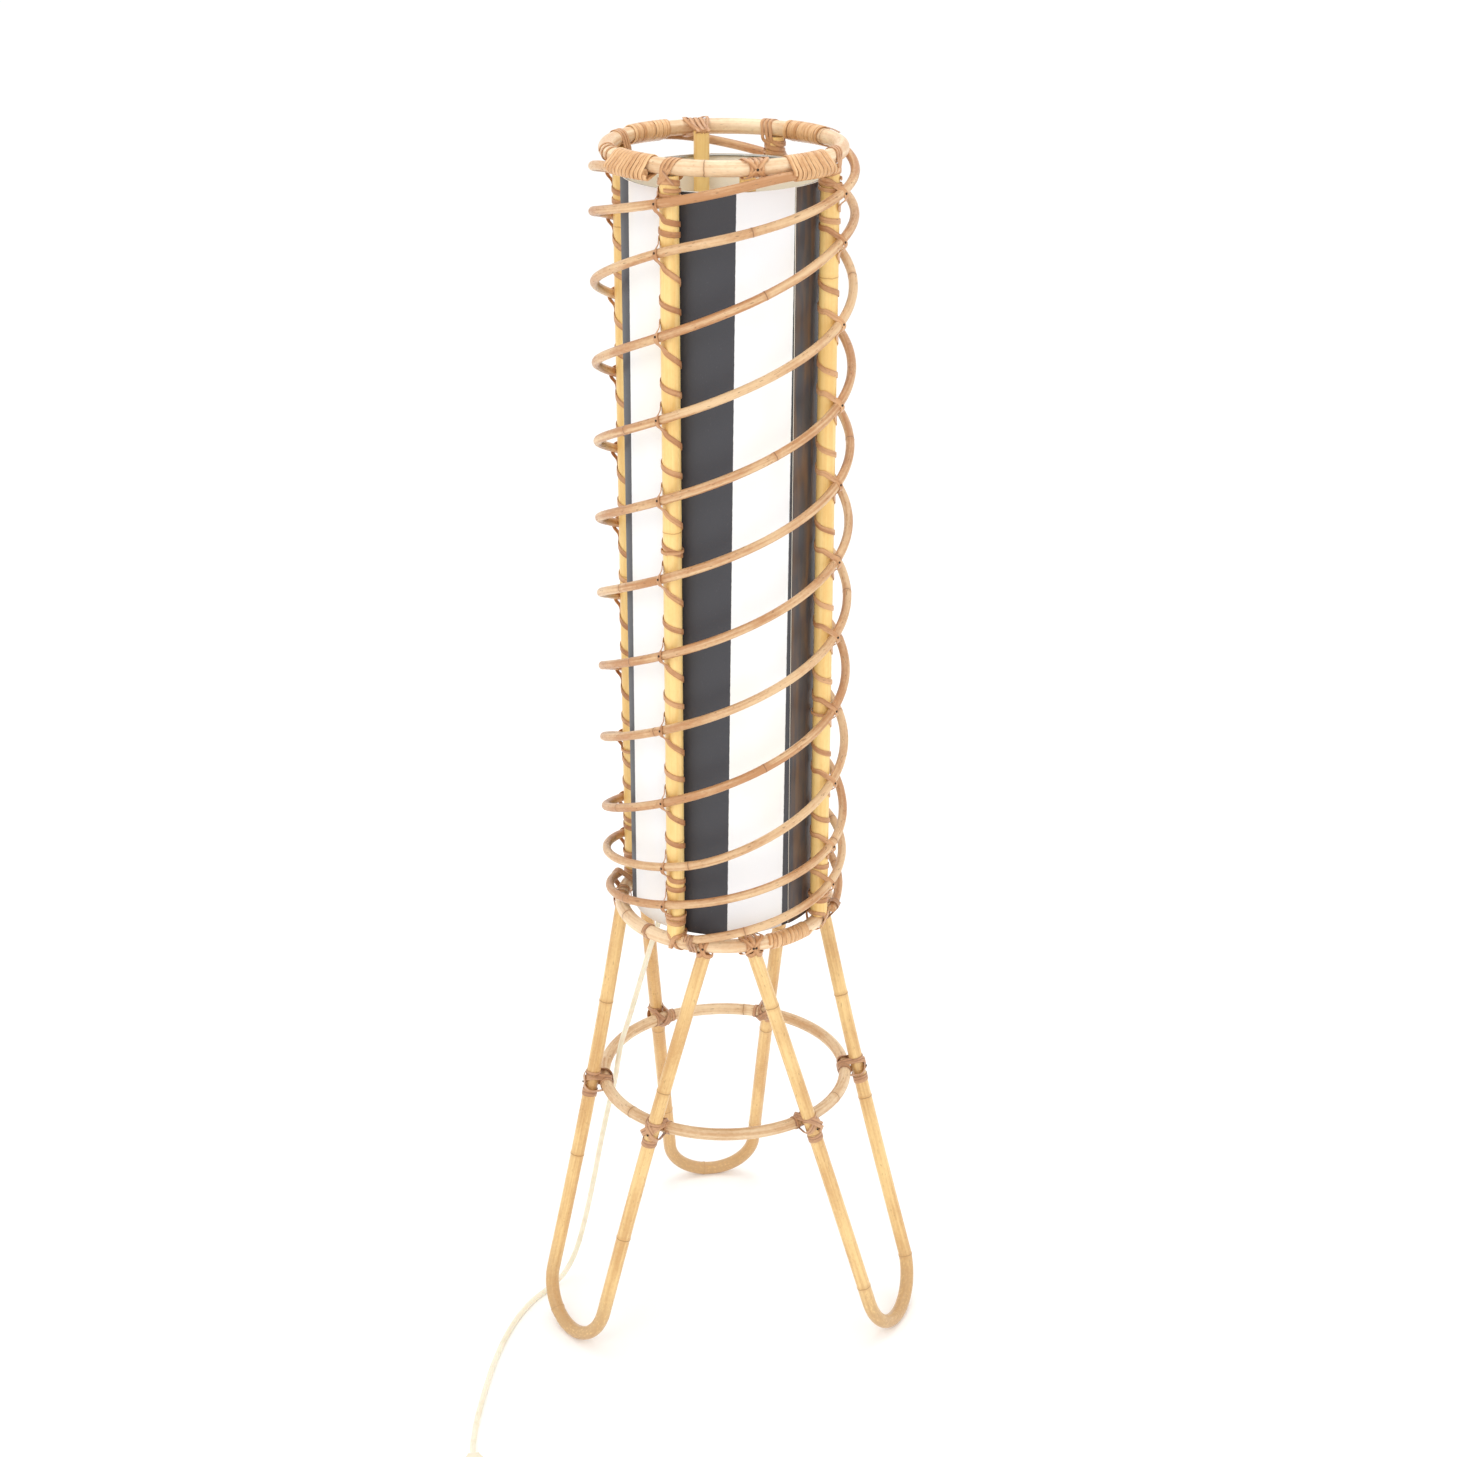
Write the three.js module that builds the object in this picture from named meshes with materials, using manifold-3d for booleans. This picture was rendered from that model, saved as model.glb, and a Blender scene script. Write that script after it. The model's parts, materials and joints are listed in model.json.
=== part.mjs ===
// Rattan floor lamp: three hairpin legs and a stretcher ring carry a tall cage of four poles, four spiral
// rods and two hoops, with a striped cylinder shade, a lampholder on a cross strap and a mains lead.
// Millimetres, +Z up. Everything is built round the lamp's own axis, and the finished group is then moved
// so that the origin is the middle of the footprint, at floor level.
import * as THREE from 'three';
import { mergeVertices } from 'three/addons/utils/BufferGeometryUtils.js';
import Module from 'manifold-3d';

const wasm = await Module();
wasm.setup();

// ---- Driving dimensions -------------------------------------------------------------------------------
const GAP = 0.3;                    // clearance between pieces that touch

const HEIGHT = 1250;                // floor to the top of the upper hoop
const TOP_RING = 107.6;             // hoop centreline radii
const BOTTOM_RING = TOP_RING - 1.4;
const BOTTOM_RING_Z = 472;
const STRETCHER_RING = 128.5;
const STRETCHER_Z = 266;
const TOP_CANE = 7.3;               // cane radii
const BOTTOM_CANE = 7;
const STRETCHER_CANE = 6.2;
const LEG_CANE = 7.2;
const POST_CANE = 8.9;
const STAY_CANE = 7.5;
const ROD_CANE = 4.3;

const POST_AT = TOP_RING - 0.3;     // radius from the lamp's axis to each pole's own axis
const POST_AZIMUTH = -26;           // first pole, degrees from the front, positive to the right
const STAY_AZIMUTH = 15.5;          // front inner stay; the rear one is opposite

const LEGS = [                      // azimuths of both upper ends and of the foot, foot radius and bend radius
  { name: 'left', tops: [-92.5, -10.1], foot: -57.4, footRadius: 194.3, bend: 47.7 },
  { name: 'right', tops: [16.9, 112.2], foot: 67.8, footRadius: 202.6, bend: 50 },
  { name: 'rear', tops: [142, 234.5], foot: 185.6, footRadius: 204.4, bend: 49.4 },
];
const FOOT_FLAT = 0.8;              // depth worn off the underside of each foot
const STRAND_TILT = 15;             // a leg strand's lean from the vertical, degrees

const ROD_TURN = 1065;              // degrees that each spiral rod turns through
const ROD_BEFORE_POST = 84;         // degrees from a rod's lower end to the first pole it crosses
const ROD_ENDS = { low: 0.4630, high: 0.4630, last: 0.01 };      // millimetres climbed per degree at the ends
const ROD_FROM = { middle: 190, high: 895, last: 1034 };        // degrees at which the slope changes
const ROD_EASE = 6;                 // degrees over which the slope changes

const SHADE_CLEAR = 2.7;            // gap between the shade and the poles, which the lashings pass through
const SHADE_RADIUS = POST_AT - POST_CANE - SHADE_CLEAR;
const SHADE_WALL = 0.9;
const SHADE_LIFT = 6.5;             // shade's lower edge above the lower hoop's centreline
const SHADE_DROP = 23.5;            // shade's upper edge below the upper hoop's centreline
const WIRE = 1.2;                   // radius of the shade's wire hoops
const CANE_STRIP = { width: 4.5, thick: 1 };
const LASHING = { slack: 0.85, overRod: 2, side: 6, leave: 14, lead: 6, tail: 10 };
const WRAP_TURN = 25;               // degrees of hoop under each wide wrap
const WRAP_BEFORE_POST = 20;        // degrees from the middle of a wide wrap to the next pole

const STRAP = { z: 660, thick: 2, width: 16, upstand: 24 };
const NIPPLE = { radius: 5, bore: 3.4, below: 9, above: 16 };
const NUT = { across: 14, thick: 5 };
const GRIP = { length: 24, top: 6.2, bottom: 4.4 };
const HOLDER = { radius: 20, inner: 15.2, cap: 26, body: 32 };
const BULB = { capRadius: 13.1, capLength: 26, glassRadius: 30, length: 106 };
const SCREW = { radius: 1.7, head: 3.4, thick: 1.6 };

const CORD = 5.6;                   // lead's diameter
const COIL = { x: -196, y: -424, mean: 31, turns: 2 };
const SWITCH = { length: 62, width: 25, base: 8, cover: 9, x: -240, y: -352, heading: -81 };
const ROCKER = { length: 17, width: 9, tilt: 7, rise: 1.6, depth: 6 };
const PLUG = { x: -150, y: -456.5, heading: 20, length: 36, width: 24, thick: 14 };
const PIN = { radius: 2, length: 19, spacing: 19 };

// ---- Helpers ------------------------------------------------------------------------------------------
const rad = THREE.MathUtils.degToRad;
const V = (x, y, z) => new THREE.Vector3(x, y, z);
const UP = V(0, 0, 1);
const outward = (azimuth) => V(Math.sin(rad(azimuth)), -Math.cos(rad(azimuth)), 0);
const along = (azimuth) => V(Math.cos(rad(azimuth)), Math.sin(rad(azimuth)), 0);
const onCircle = (radius, azimuth, z) => outward(azimuth).multiplyScalar(radius).setZ(z);
const range = (count) => Array.from({ length: count }, (_, i) => i);

// A route through given points, with a chosen side direction for the section's own x axis.
class Route extends THREE.Curve {
  constructor(points, sides) {
    super();
    this.points = points;
    this.sides = sides;
  }

  getPoint(t, target = new THREE.Vector3()) {
    const place = t * (this.points.length - 1);
    const i = Math.min(Math.floor(place), this.points.length - 2);
    return target.lerpVectors(this.points[i], this.points[i + 1], place - i);
  }

  getPointAt(u, target) {
    return this.getPoint(u, target);
  }

  computeFrenetFrames() {
    const last = this.points.length - 1;
    const tangents = this.points.map((_, i) => this.points[Math.min(i + 1, last)].clone()
      .sub(this.points[Math.max(i - 1, 0)]).normalize());
    const normals = tangents.map((t, i) => this.sides[i].clone().addScaledVector(t, -this.sides[i].dot(t))
      .normalize());
    const binormals = tangents.map((t, i) => t.clone().cross(normals[i]));
    return { tangents, normals, binormals };
  }
}

const polygon = (radius, sides) => new THREE.Shape(range(sides).map((i) => {
  const turn = (i + 0.5) * 2 * Math.PI / sides;
  return new THREE.Vector2(radius * Math.cos(turn), radius * Math.sin(turn));
}));
const rectangle = (width, height) => new THREE.Shape([[-1, -1], [1, -1], [1, 1], [-1, 1]]
  .map(([x, y]) => new THREE.Vector2(x * width / 2, y * height / 2)));

function sweep(shape, points, sides) {
  const route = new Route(points, sides);
  return new THREE.ExtrudeGeometry(shape, { steps: points.length - 1, extrudePath: route, curveSegments: 6 });
}

// Turns a profile of [radius, height] points about +Z; the profile runs round the section.
function turned(profile, segments = 18) {
  const points = [...profile, profile[0]].map(([r, z]) => new THREE.Vector2(r, z));
  return new THREE.LatheGeometry(points, segments).rotateX(Math.PI / 2);
}

const solidOf = (geometry) => {
  const bare = geometry.index ? geometry.toNonIndexed() : geometry.clone();
  bare.deleteAttribute('normal');
  bare.deleteAttribute('uv');
  const merged = mergeVertices(bare, 1e-4);
  return new wasm.Manifold(new wasm.Mesh({
    numProp: 3,
    vertProperties: new Float32Array(merged.attributes.position.array),
    triVerts: new Uint32Array(merged.index.array),
  }));
};
const geometryOf = (solid) => {
  const mesh = solid.getMesh();
  const geometry = new THREE.BufferGeometry();
  geometry.setAttribute('position', new THREE.BufferAttribute(new Float32Array(mesh.vertProperties), 3));
  geometry.setIndex(new THREE.BufferAttribute(new Uint32Array(mesh.triVerts), 1));
  return geometry;
};
const cut = (geometry, ...tools) => geometryOf(tools.reduce((solid, tool) => solid.subtract(solidOf(tool)),
  solidOf(geometry)));

const lamp = new THREE.Group();
const finish = (color, roughness, metalness = 0) => ({ color, roughness, metalness });
const PEELED = finish(0xf0ca84, 0.5);
const SKIN = finish(0xcfa571, 0.55);
const STRIP = finish(0xbd8f5c, 0.6);
const GOLDEN = finish(0xe6bc70, 0.5);
const STEEL = finish(0xb9b9b4, 0.35, 1);
const BRASS = finish(0xc8a45a, 0.35, 1);
const IVORY = finish(0xefe8d6, 0.45);
const GLASS = finish(0xf4f1e8, 0.2);
const SHADE = finish(0xe9e6e0, 0.7);
function place(name, geometry, look) {
  const mesh = new THREE.Mesh(geometry, new THREE.MeshStandardMaterial(look));
  mesh.name = name;
  lamp.add(mesh);
  return mesh;
}

// ---- Hoops and poles ----------------------------------------------------------------------------------
const TOP_RING_Z = HEIGHT - TOP_CANE;
const hoop = (radius, cane, z, segments = 36, sides = 8) => new THREE.TorusGeometry(radius, cane, sides, segments)
  .translate(0, 0, z);
place('top_ring', hoop(TOP_RING, TOP_CANE, TOP_RING_Z), SKIN);
place('bottom_ring', hoop(BOTTOM_RING, BOTTOM_CANE, BOTTOM_RING_Z), SKIN);

const postLow = BOTTOM_RING_Z + BOTTOM_CANE + GAP;
const postHigh = TOP_RING_Z - TOP_CANE - GAP;
const pole = (cane, radius, azimuth, low, high) => sweep(polygon(cane, 12),
  [onCircle(radius, azimuth, low), onCircle(radius, azimuth, high)], [outward(azimuth), outward(azimuth)]);
const POSTS = ['front_left', 'front_right', 'rear_right', 'rear_left'];
const postAzimuth = (i) => POST_AZIMUTH + 90 * i;
POSTS.forEach((name, i) => {
  place(`post_${name}`, pole(POST_CANE, POST_AT, postAzimuth(i), postLow, postHigh), PEELED);
});

const shadeInner = SHADE_RADIUS - SHADE_WALL;
const wireRing = shadeInner - 2 * GAP - WIRE;
const stayAt = wireRing - WIRE - 2 * GAP - STAY_CANE;
const STAYS = [{ name: 'front', azimuth: STAY_AZIMUTH }, { name: 'rear', azimuth: STAY_AZIMUTH + 180 }];
STAYS.forEach(({ name, azimuth }) => {
  place(`stay_${name}`, pole(STAY_CANE, stayAt, azimuth, BOTTOM_RING_Z - BOTTOM_CANE, HEIGHT - TOP_CANE), PEELED);
});

// ---- Hairpin legs and the stretcher hoop --------------------------------------------------------------
const legTopZ = BOTTOM_RING_Z - BOTTOM_CANE - GAP - LEG_CANE * Math.sin(rad(STRAND_TILT)) - GAP;

// A hairpin lies in the plane of its two upper ends and its foot: two straight strands run tangent to a bend.
function hairpin({ tops, foot, footRadius, bend }) {
  const [a, b] = tops.map((azimuth) => onCircle(BOTTOM_RING, azimuth, legTopZ));
  const low = onCircle(footRadius, foot, LEG_CANE - FOOT_FLAT);
  const middle = a.clone().add(b).multiplyScalar(0.5);
  const across = b.clone().sub(a).normalize();
  const down = low.clone().sub(middle);
  const sideways = down.dot(across);
  down.addScaledVector(across, -sideways);
  const centre = new THREE.Vector2(sideways, down.length() - bend);
  down.normalize();
  const half = a.distanceTo(b) / 2;
  // The turn, seen from the bend's centre, at which the strand from one upper end touches the bend.
  const touching = (end, side) => {
    const reach = centre.clone().sub(new THREE.Vector2(end, 0));
    return Math.atan2(reach.y, reach.x) + side * (Math.asin(bend / reach.length()) + Math.PI / 2);
  };
  const at = (x, y) => middle.clone().addScaledVector(across, x).addScaledVector(down, y);
  const arc = (turn) => at(centre.x + bend * Math.cos(turn), centre.y + bend * Math.sin(turn));
  const left = touching(-half, 1);
  const right = touching(half, -1);
  const bends = 11;
  const curve = range(bends + 1).map((i) => arc(left + (right - left) * i / bends));
  return { ends: [a, b], curve, normal: across.clone().cross(down) };
}

// Every strand is bound to the outside of the stretcher hoop, and bows a little where that pulls it in or out.
const crossing = ({ high, low }) => high.clone().lerp(low, (high.z - STRETCHER_Z) / (high.z - low.z));
const strandAt = STRETCHER_RING + (LEG_CANE + STRETCHER_CANE + 2 * GAP) / Math.cos(rad(STRAND_TILT));
function bowed(high, low) {
  const meeting = crossing({ high, low });
  const pull = strandAt - Math.hypot(meeting.x, meeting.y);
  const power = Math.log(0.5) / Math.log((high.z - STRETCHER_Z) / (high.z - low.z));
  const push = meeting.clone().setZ(0).normalize().multiplyScalar(pull);
  return range(8).map((k) => high.clone().lerp(low, k / 8)
    .addScaledVector(push, Math.sin(Math.PI * (k / 8) ** power)));
}

const strands = [];
LEGS.forEach((leg) => {
  const { ends, curve, normal } = hairpin(leg);
  const last = curve[curve.length - 1];
  const points = [...bowed(ends[0], curve[0]), ...curve, ...bowed(ends[1], last).reverse()];
  const tube = sweep(polygon(LEG_CANE, 8), points, points.map(() => normal));
  const floor = new THREE.BoxGeometry(600, 600, 40).translate(0, 0, -20);
  place(`leg_${leg.name}`, cut(tube, floor), GOLDEN);
  strands.push({ name: `${leg.name}_a`, high: ends[0], low: curve[0] });
  strands.push({ name: `${leg.name}_b`, high: ends[1], low: last });
});
place('stretcher_ring', hoop(STRETCHER_RING, STRETCHER_CANE, STRETCHER_Z), SKIN);

// ---- Spiral rods --------------------------------------------------------------------------------------
const rodAt = POST_AT + POST_CANE + GAP + ROD_CANE;
const ROD_NEST = { low: 0.2, high: 0.6, under: 0.8 };   // how far a rod's ends lie into the hoops' roundness
const ROD_FOOT = 1.4;
const rodLowAt = BOTTOM_RING + BOTTOM_CANE + ROD_CANE - ROD_NEST.low;
const rodHighAt = TOP_RING + TOP_CANE + ROD_CANE - ROD_NEST.high;
const rodFootZ = BOTTOM_RING_Z + BOTTOM_CANE + ROD_FOOT;
const soft = (x) => ROD_EASE * Math.log1p(Math.exp(x / ROD_EASE));
const climb = (turn, middle) => ROD_ENDS.low * turn + (middle - ROD_ENDS.low) * soft(turn - ROD_FROM.middle)
  + (ROD_ENDS.high - middle) * soft(turn - ROD_FROM.high)
  + (ROD_ENDS.last - ROD_ENDS.high) * soft(turn - ROD_FROM.last);
// The middle slope is whatever brings the rod up to the upper hoop.
const endsOnly = climb(ROD_TURN, 0);
const middleSlope = (TOP_RING_Z - TOP_CANE + ROD_NEST.under - rodFootZ - endsOnly) / (climb(ROD_TURN, 1) - endsOnly);
const rodZ = (turn) => rodFootZ + climb(turn, middleSlope);
const rodRadius = (turn) => {
  const low = THREE.MathUtils.smoothstep(turn, 0, ROD_BEFORE_POST - 14);
  const high = THREE.MathUtils.smoothstep(ROD_TURN - turn, WRAP_TURN, 70);
  return Math.min(rodLowAt + (rodAt - rodLowAt) * low, rodHighAt + (rodAt - rodHighAt) * high);
};
const rodStart = (i) => POST_AZIMUTH - ROD_BEFORE_POST + 90 * i;
const EDGE_STEP = 9;
const rodTurns = range(Math.ceil(ROD_TURN / EDGE_STEP)).map((i) => i * EDGE_STEP + ROD_BEFORE_POST % EDGE_STEP)
  .filter((turn) => turn < ROD_TURN - 2)
  .filter((turn) => turn < ROD_BEFORE_POST || turn > ROD_TURN - 90
    || (Math.round((turn - ROD_BEFORE_POST) / EDGE_STEP) % 2 === 0));
const rodPath = [0, ...rodTurns.filter((turn) => turn > 2), ROD_TURN];
range(4).forEach((i) => {
  const points = rodPath.map((turn) => onCircle(rodRadius(turn), rodStart(i) + turn, rodZ(turn)));
  const sides = rodPath.map((turn) => outward(rodStart(i) + turn));
  place(`spiral_rod_${i + 1}`, sweep(polygon(ROD_CANE, 6), points, sides), SKIN);
});

// ---- Cane lashings ------------------------------------------------------------------------------------
// One strip winds down each pole: it crosses every rod steeply on the pole's left, then passes round the back.
// Its flat side always faces the pole's axis.
const stripAt = POST_CANE + GAP / 2 + CANE_STRIP.thick / 2 + LASHING.slack;
const rodReach = rodAt - POST_AT;
const overRod = rodReach + ROD_CANE + CANE_STRIP.thick / 2 + LASHING.overRod;
const rodCrossings = range(11).map((j) => rodZ(ROD_BEFORE_POST + 90 * j)).reverse();
const ROD_RISE = middleSlope / rad(1) / rodAt;
// Over a rod: the strip's turn round the pole, its share of the way out to clear the rod, and its height.
const OVER = [[-75, 0.02, 13.3], [-60, 0.08, 12.3], [-45, 0.22, 11], [-31, 0.48, 9], [-20, 0.85, 5], [-16, 1, 1],
  [-13, 0.97, -3], [-12.5, 0.37, -9.5], [-9, 0.1, -12.5]];
const STRIP_STEP = 30;
function lashing(azimuth) {
  const points = [];
  const sides = [];
  const add = (turn, radius, z) => {
    const spoke = outward(azimuth).multiplyScalar(Math.cos(rad(turn)))
      .addScaledVector(along(azimuth), Math.sin(rad(turn)));
    points.push(onCircle(POST_AT, azimuth, z).addScaledVector(spoke, radius));
    sides.push(spoke);
  };
  const round = (from, to, zFrom, zTo) => {
    const steps = Math.round((to - from) / STRIP_STEP);
    range(steps + 1).forEach((k) => add(from + (to - from) * k / steps, stripAt, zFrom + (zTo - zFrom) * k / steps));
  };
  const tops = rodCrossings.map((rod) => rod - LASHING.side * ROD_RISE);
  round(-45, 270, Math.min(tops[0] + LASHING.leave + LASHING.lead, postHigh - CANE_STRIP.width), tops[0] + LASHING.leave);
  tops.forEach((top, j) => {
    OVER.forEach(([turn, share, rise]) => add(turn, stripAt + (overRod - stripAt) * share, top + rise));
    const low = top - LASHING.leave;
    round(0, 270, low, j + 1 < tops.length ? tops[j + 1] + LASHING.leave : low - LASHING.tail);
  });
  return sweep(rectangle(CANE_STRIP.thick, CANE_STRIP.width), points, sides);
}
POSTS.forEach((name, i) => {
  place(`lashing_${name}`, lashing(postAzimuth(i)), STRIP);
});

// The outline that a taut strip takes round two canes side by side; the second lies at [x, y] from the first,
// and on a hoop y counts downwards.
function roundTwo(first, second, x, y) {
  const reach = Math.hypot(x, y);
  const heading = Math.atan2(y, x);
  const open = Math.acos((first - second) / reach);
  const arcPoints = (cx, cy, r, from, to, count) => range(count + 1).map((i) => {
    const turn = from + (to - from) * i / count;
    const corner = r / Math.cos((to - from) / count / 2);
    return new THREE.Vector2(cx + corner * Math.cos(turn), cy + corner * Math.sin(turn));
  });
  return [
    ...arcPoints(0, 0, first, heading + open, heading + 2 * Math.PI - open, 6),
    ...arcPoints(x, y, second, heading - open, heading + open, 4),
  ];
}
function bandShape(first, second, x, y, slack, thick) {
  const shape = new THREE.Shape(roundTwo(first + slack + thick, second + slack + thick, x, y));
  shape.holes.push(new THREE.Path(roundTwo(first + slack, second + slack, x, y)));
  return shape;
}
const BAND = 1.2;
const BAND_SLACK = { wrap: 0.7, foot: 1.1 };
const FOOT_WRAP = [2, 5.5];         // degrees from a rod's lower end to both edges of its wrap

// Wide wraps bind each rod's upper end beside the upper hoop, just before a pole.
POSTS.forEach((name, i) => {
  const middle = postAzimuth(i) - WRAP_BEFORE_POST;
  const turns = range(5).map((k) => middle + WRAP_TURN * (k / 4 - 0.5));
  const rod = ROD_TURN - WRAP_TURN / 2;
  const shape = bandShape(TOP_CANE, ROD_CANE, rodRadius(rod) - TOP_RING, TOP_RING_Z - rodZ(rod),
    BAND_SLACK.wrap, BAND);
  place(`wrap_${name}`, sweep(shape, turns.map((turn) => onCircle(TOP_RING, turn, TOP_RING_Z)),
    turns.map(outward)), STRIP);
});

// Short wraps bind each rod's lower end to the lower hoop.
range(4).forEach((i) => {
  const turns = FOOT_WRAP.map((step) => rodStart(i) + step);
  const rod = FOOT_WRAP[0] + 1;
  const shape = bandShape(BOTTOM_CANE, ROD_CANE, rodRadius(rod) - BOTTOM_RING, BOTTOM_RING_Z - rodZ(rod),
    BAND_SLACK.foot, BAND);
  place(`foot_wrap_${i + 1}`, sweep(shape, turns.map((turn) => onCircle(BOTTOM_RING, turn, BOTTOM_RING_Z)),
    turns.map(outward)), STRIP);
});

// A band binds each leg strand to the stretcher hoop, across the corner that the two canes make.
const TIE_WIDTH = 7;
strands.forEach((strand) => {
  const point = crossing(strand).setZ(0).setLength(strandAt).setZ(STRETCHER_Z);
  const azimuth = THREE.MathUtils.radToDeg(Math.atan2(point.x, -point.y));
  const ring = onCircle(STRETCHER_RING, azimuth, STRETCHER_Z);
  const fall = strand.low.clone().sub(strand.high).normalize();
  const axis = fall.clone().addScaledVector(along(azimuth), Math.sign(fall.dot(along(azimuth)))).normalize();
  const out = point.clone().sub(ring);
  out.addScaledVector(fall, -out.dot(axis) / fall.dot(axis));
  const reach = out.length();
  out.normalize();
  const widened = (cane, direction) => {
    const lean = Math.acos(Math.abs(direction.dot(axis)));
    return cane / Math.cos(lean) + TIE_WIDTH / 2 * Math.tan(lean);
  };
  const shape = bandShape(widened(STRETCHER_CANE, along(azimuth)), widened(LEG_CANE, fall), reach, 0, GAP, BAND);
  const ends = [-0.5, 0.5].map((half) => ring.clone().addScaledVector(axis, half * TIE_WIDTH));
  place(`tie_${strand.name}`, sweep(shape, ends, [out, out]), STRIP);
});

// ---- Shade --------------------------------------------------------------------------------------------
const shadeLow = BOTTOM_RING_Z + SHADE_LIFT;
const shadeHigh = TOP_RING_Z - SHADE_DROP;
place('shade_tube', turned([[shadeInner, shadeLow], [SHADE_RADIUS, shadeLow], [SHADE_RADIUS, shadeHigh],
  [shadeInner, shadeHigh]], 40), SHADE);
place('shade_wire_top', hoop(wireRing, WIRE, shadeHigh - WIRE, 32, 5), STEEL);
place('shade_wire_bottom', hoop(wireRing, WIRE, shadeLow + WIRE + GAP, 32, 5), STEEL);
const PEG = 1.5;
STAYS.forEach(({ name, azimuth }) => {
  const z = shadeLow - GAP - PEG;
  place(`shade_peg_${name}`, sweep(polygon(PEG, 8), [onCircle(stayAt + STAY_CANE + GAP, azimuth, z),
    onCircle(SHADE_RADIUS + 1, azimuth, z)], [UP, UP]), BRASS);
});

// ---- Lampholder on its cross strap --------------------------------------------------------------------
const strapReach = stayAt - STAY_CANE - GAP;
const strapOutline = new THREE.Shape([
  [-strapReach, STRAP.upstand], [-strapReach, 0], [strapReach, 0], [strapReach, STRAP.upstand],
  [strapReach - STRAP.thick, STRAP.upstand], [strapReach - STRAP.thick, STRAP.thick],
  [STRAP.thick - strapReach, STRAP.thick], [STRAP.thick - strapReach, STRAP.upstand],
].map(([x, y]) => new THREE.Vector2(x, y)));
// The strap runs from stay to stay; its own x axis points at the front stay.
const turnToStay = rad(STAY_AZIMUTH - 90);
const strapBody = new THREE.ExtrudeGeometry(strapOutline, { depth: STRAP.width, bevelEnabled: false })
  .translate(0, 0, -STRAP.width / 2).rotateX(Math.PI / 2).translate(0, 0, STRAP.z);
const strapBore = new THREE.CylinderGeometry(NIPPLE.radius + GAP, NIPPLE.radius + GAP, 20, 24)
  .rotateX(Math.PI / 2).translate(0, 0, STRAP.z);
const screwZ = STRAP.z + STRAP.upstand * 0.62;
const screwBore = new THREE.CylinderGeometry(SCREW.radius + GAP, SCREW.radius + GAP, 400, 12)
  .rotateZ(Math.PI / 2).translate(0, 0, screwZ);
place('cross_strap', cut(strapBody, strapBore, screwBore).rotateZ(turnToStay), STEEL);
STAYS.forEach(({ name, azimuth }) => {
  const inner = strapReach - STRAP.thick - GAP;
  const head = turned([[0, -SCREW.thick], [SCREW.head * 0.7, -SCREW.thick], [SCREW.head, 0], [0, 0]], 12);
  const shank = turned([[0, -0.4], [SCREW.radius, -0.4], [SCREW.radius, STRAP.thick + GAP * 1.6],
    [0, STRAP.thick + GAP * 1.6]], 12);
  const screw = geometryOf(solidOf(head).add(solidOf(shank)));
  const toStay = new THREE.Quaternion().setFromUnitVectors(UP, outward(azimuth));
  place(`strap_screw_${name}`, screw.applyQuaternion(toStay)
    .translate(...onCircle(inner, azimuth, screwZ).toArray()), BRASS);
});

const nippleLow = STRAP.z - NIPPLE.below;
const nippleHigh = STRAP.z + STRAP.thick + NIPPLE.above;
place('nipple', turned([[NIPPLE.bore, nippleLow], [NIPPLE.radius, nippleLow], [NIPPLE.radius, nippleHigh],
  [NIPPLE.bore, nippleHigh]], 16), BRASS);
const nutHigh = STRAP.z - GAP;
place('lock_nut', turned([[NIPPLE.radius + GAP, nutHigh - NUT.thick], [NUT.across / 2, nutHigh - NUT.thick],
  [NUT.across / 2, nutHigh], [NIPPLE.radius + GAP, nutHigh]], 6 * 2), BRASS);
const gripHigh = nippleLow - GAP;
const gripLow = gripHigh - GRIP.length;
place('cord_grip', turned([[CORD / 2 + 0.25, gripLow], [GRIP.bottom, gripLow], [GRIP.top, gripHigh - 8],
  [GRIP.top, gripHigh], [CORD / 2 + 0.25, gripHigh]], 16), IVORY);

const capLow = STRAP.z + STRAP.thick + GAP;
const capHigh = capLow + HOLDER.cap;
place('holder_cap', turned([
  [NIPPLE.radius + GAP, capLow], [12, capLow], [16.5, capLow + 4], [HOLDER.radius, capHigh - 8],
  [HOLDER.radius, capHigh], [HOLDER.radius - 2.5, capHigh], [HOLDER.radius - 2.5, capHigh - 8],
  [NIPPLE.radius + GAP, capLow + 6],
]), IVORY);
const bodyLow = capHigh + GAP;
const bodyHigh = bodyLow + HOLDER.body;
place('holder_body', turned([
  [0, bodyLow], [HOLDER.radius, bodyLow], [HOLDER.radius, bodyHigh - 9], [HOLDER.radius + 2.5, bodyHigh - 8],
  [HOLDER.radius + 2.5, bodyHigh - 5], [HOLDER.radius - 1, bodyHigh - 4], [HOLDER.radius - 1, bodyHigh],
  [HOLDER.inner, bodyHigh], [HOLDER.inner, bodyLow + 4], [0, bodyLow + 4],
]), IVORY);
const bulbLow = bodyLow + 4 + GAP;
const neckZ = bulbLow + BULB.capLength;
place('bulb_cap', turned([[0, bulbLow], [5, bulbLow], [7, bulbLow + 3], [BULB.capRadius, bulbLow + 6],
  [BULB.capRadius, neckZ], [0, neckZ]]), BRASS);
const bulbTop = bulbLow + BULB.length;
const glassZ = bulbTop - BULB.glassRadius;
const dome = range(7).map((i) => {
  const turn = rad(-30 + 20 * i);
  return [BULB.glassRadius * Math.cos(turn), glassZ + BULB.glassRadius * Math.sin(turn)];
});
place('bulb_glass', turned([[0, neckZ + GAP], [BULB.capRadius - 0.4, neckZ + GAP],
  [BULB.capRadius + 1.5, neckZ + 10], ...dome]), GLASS);

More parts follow.
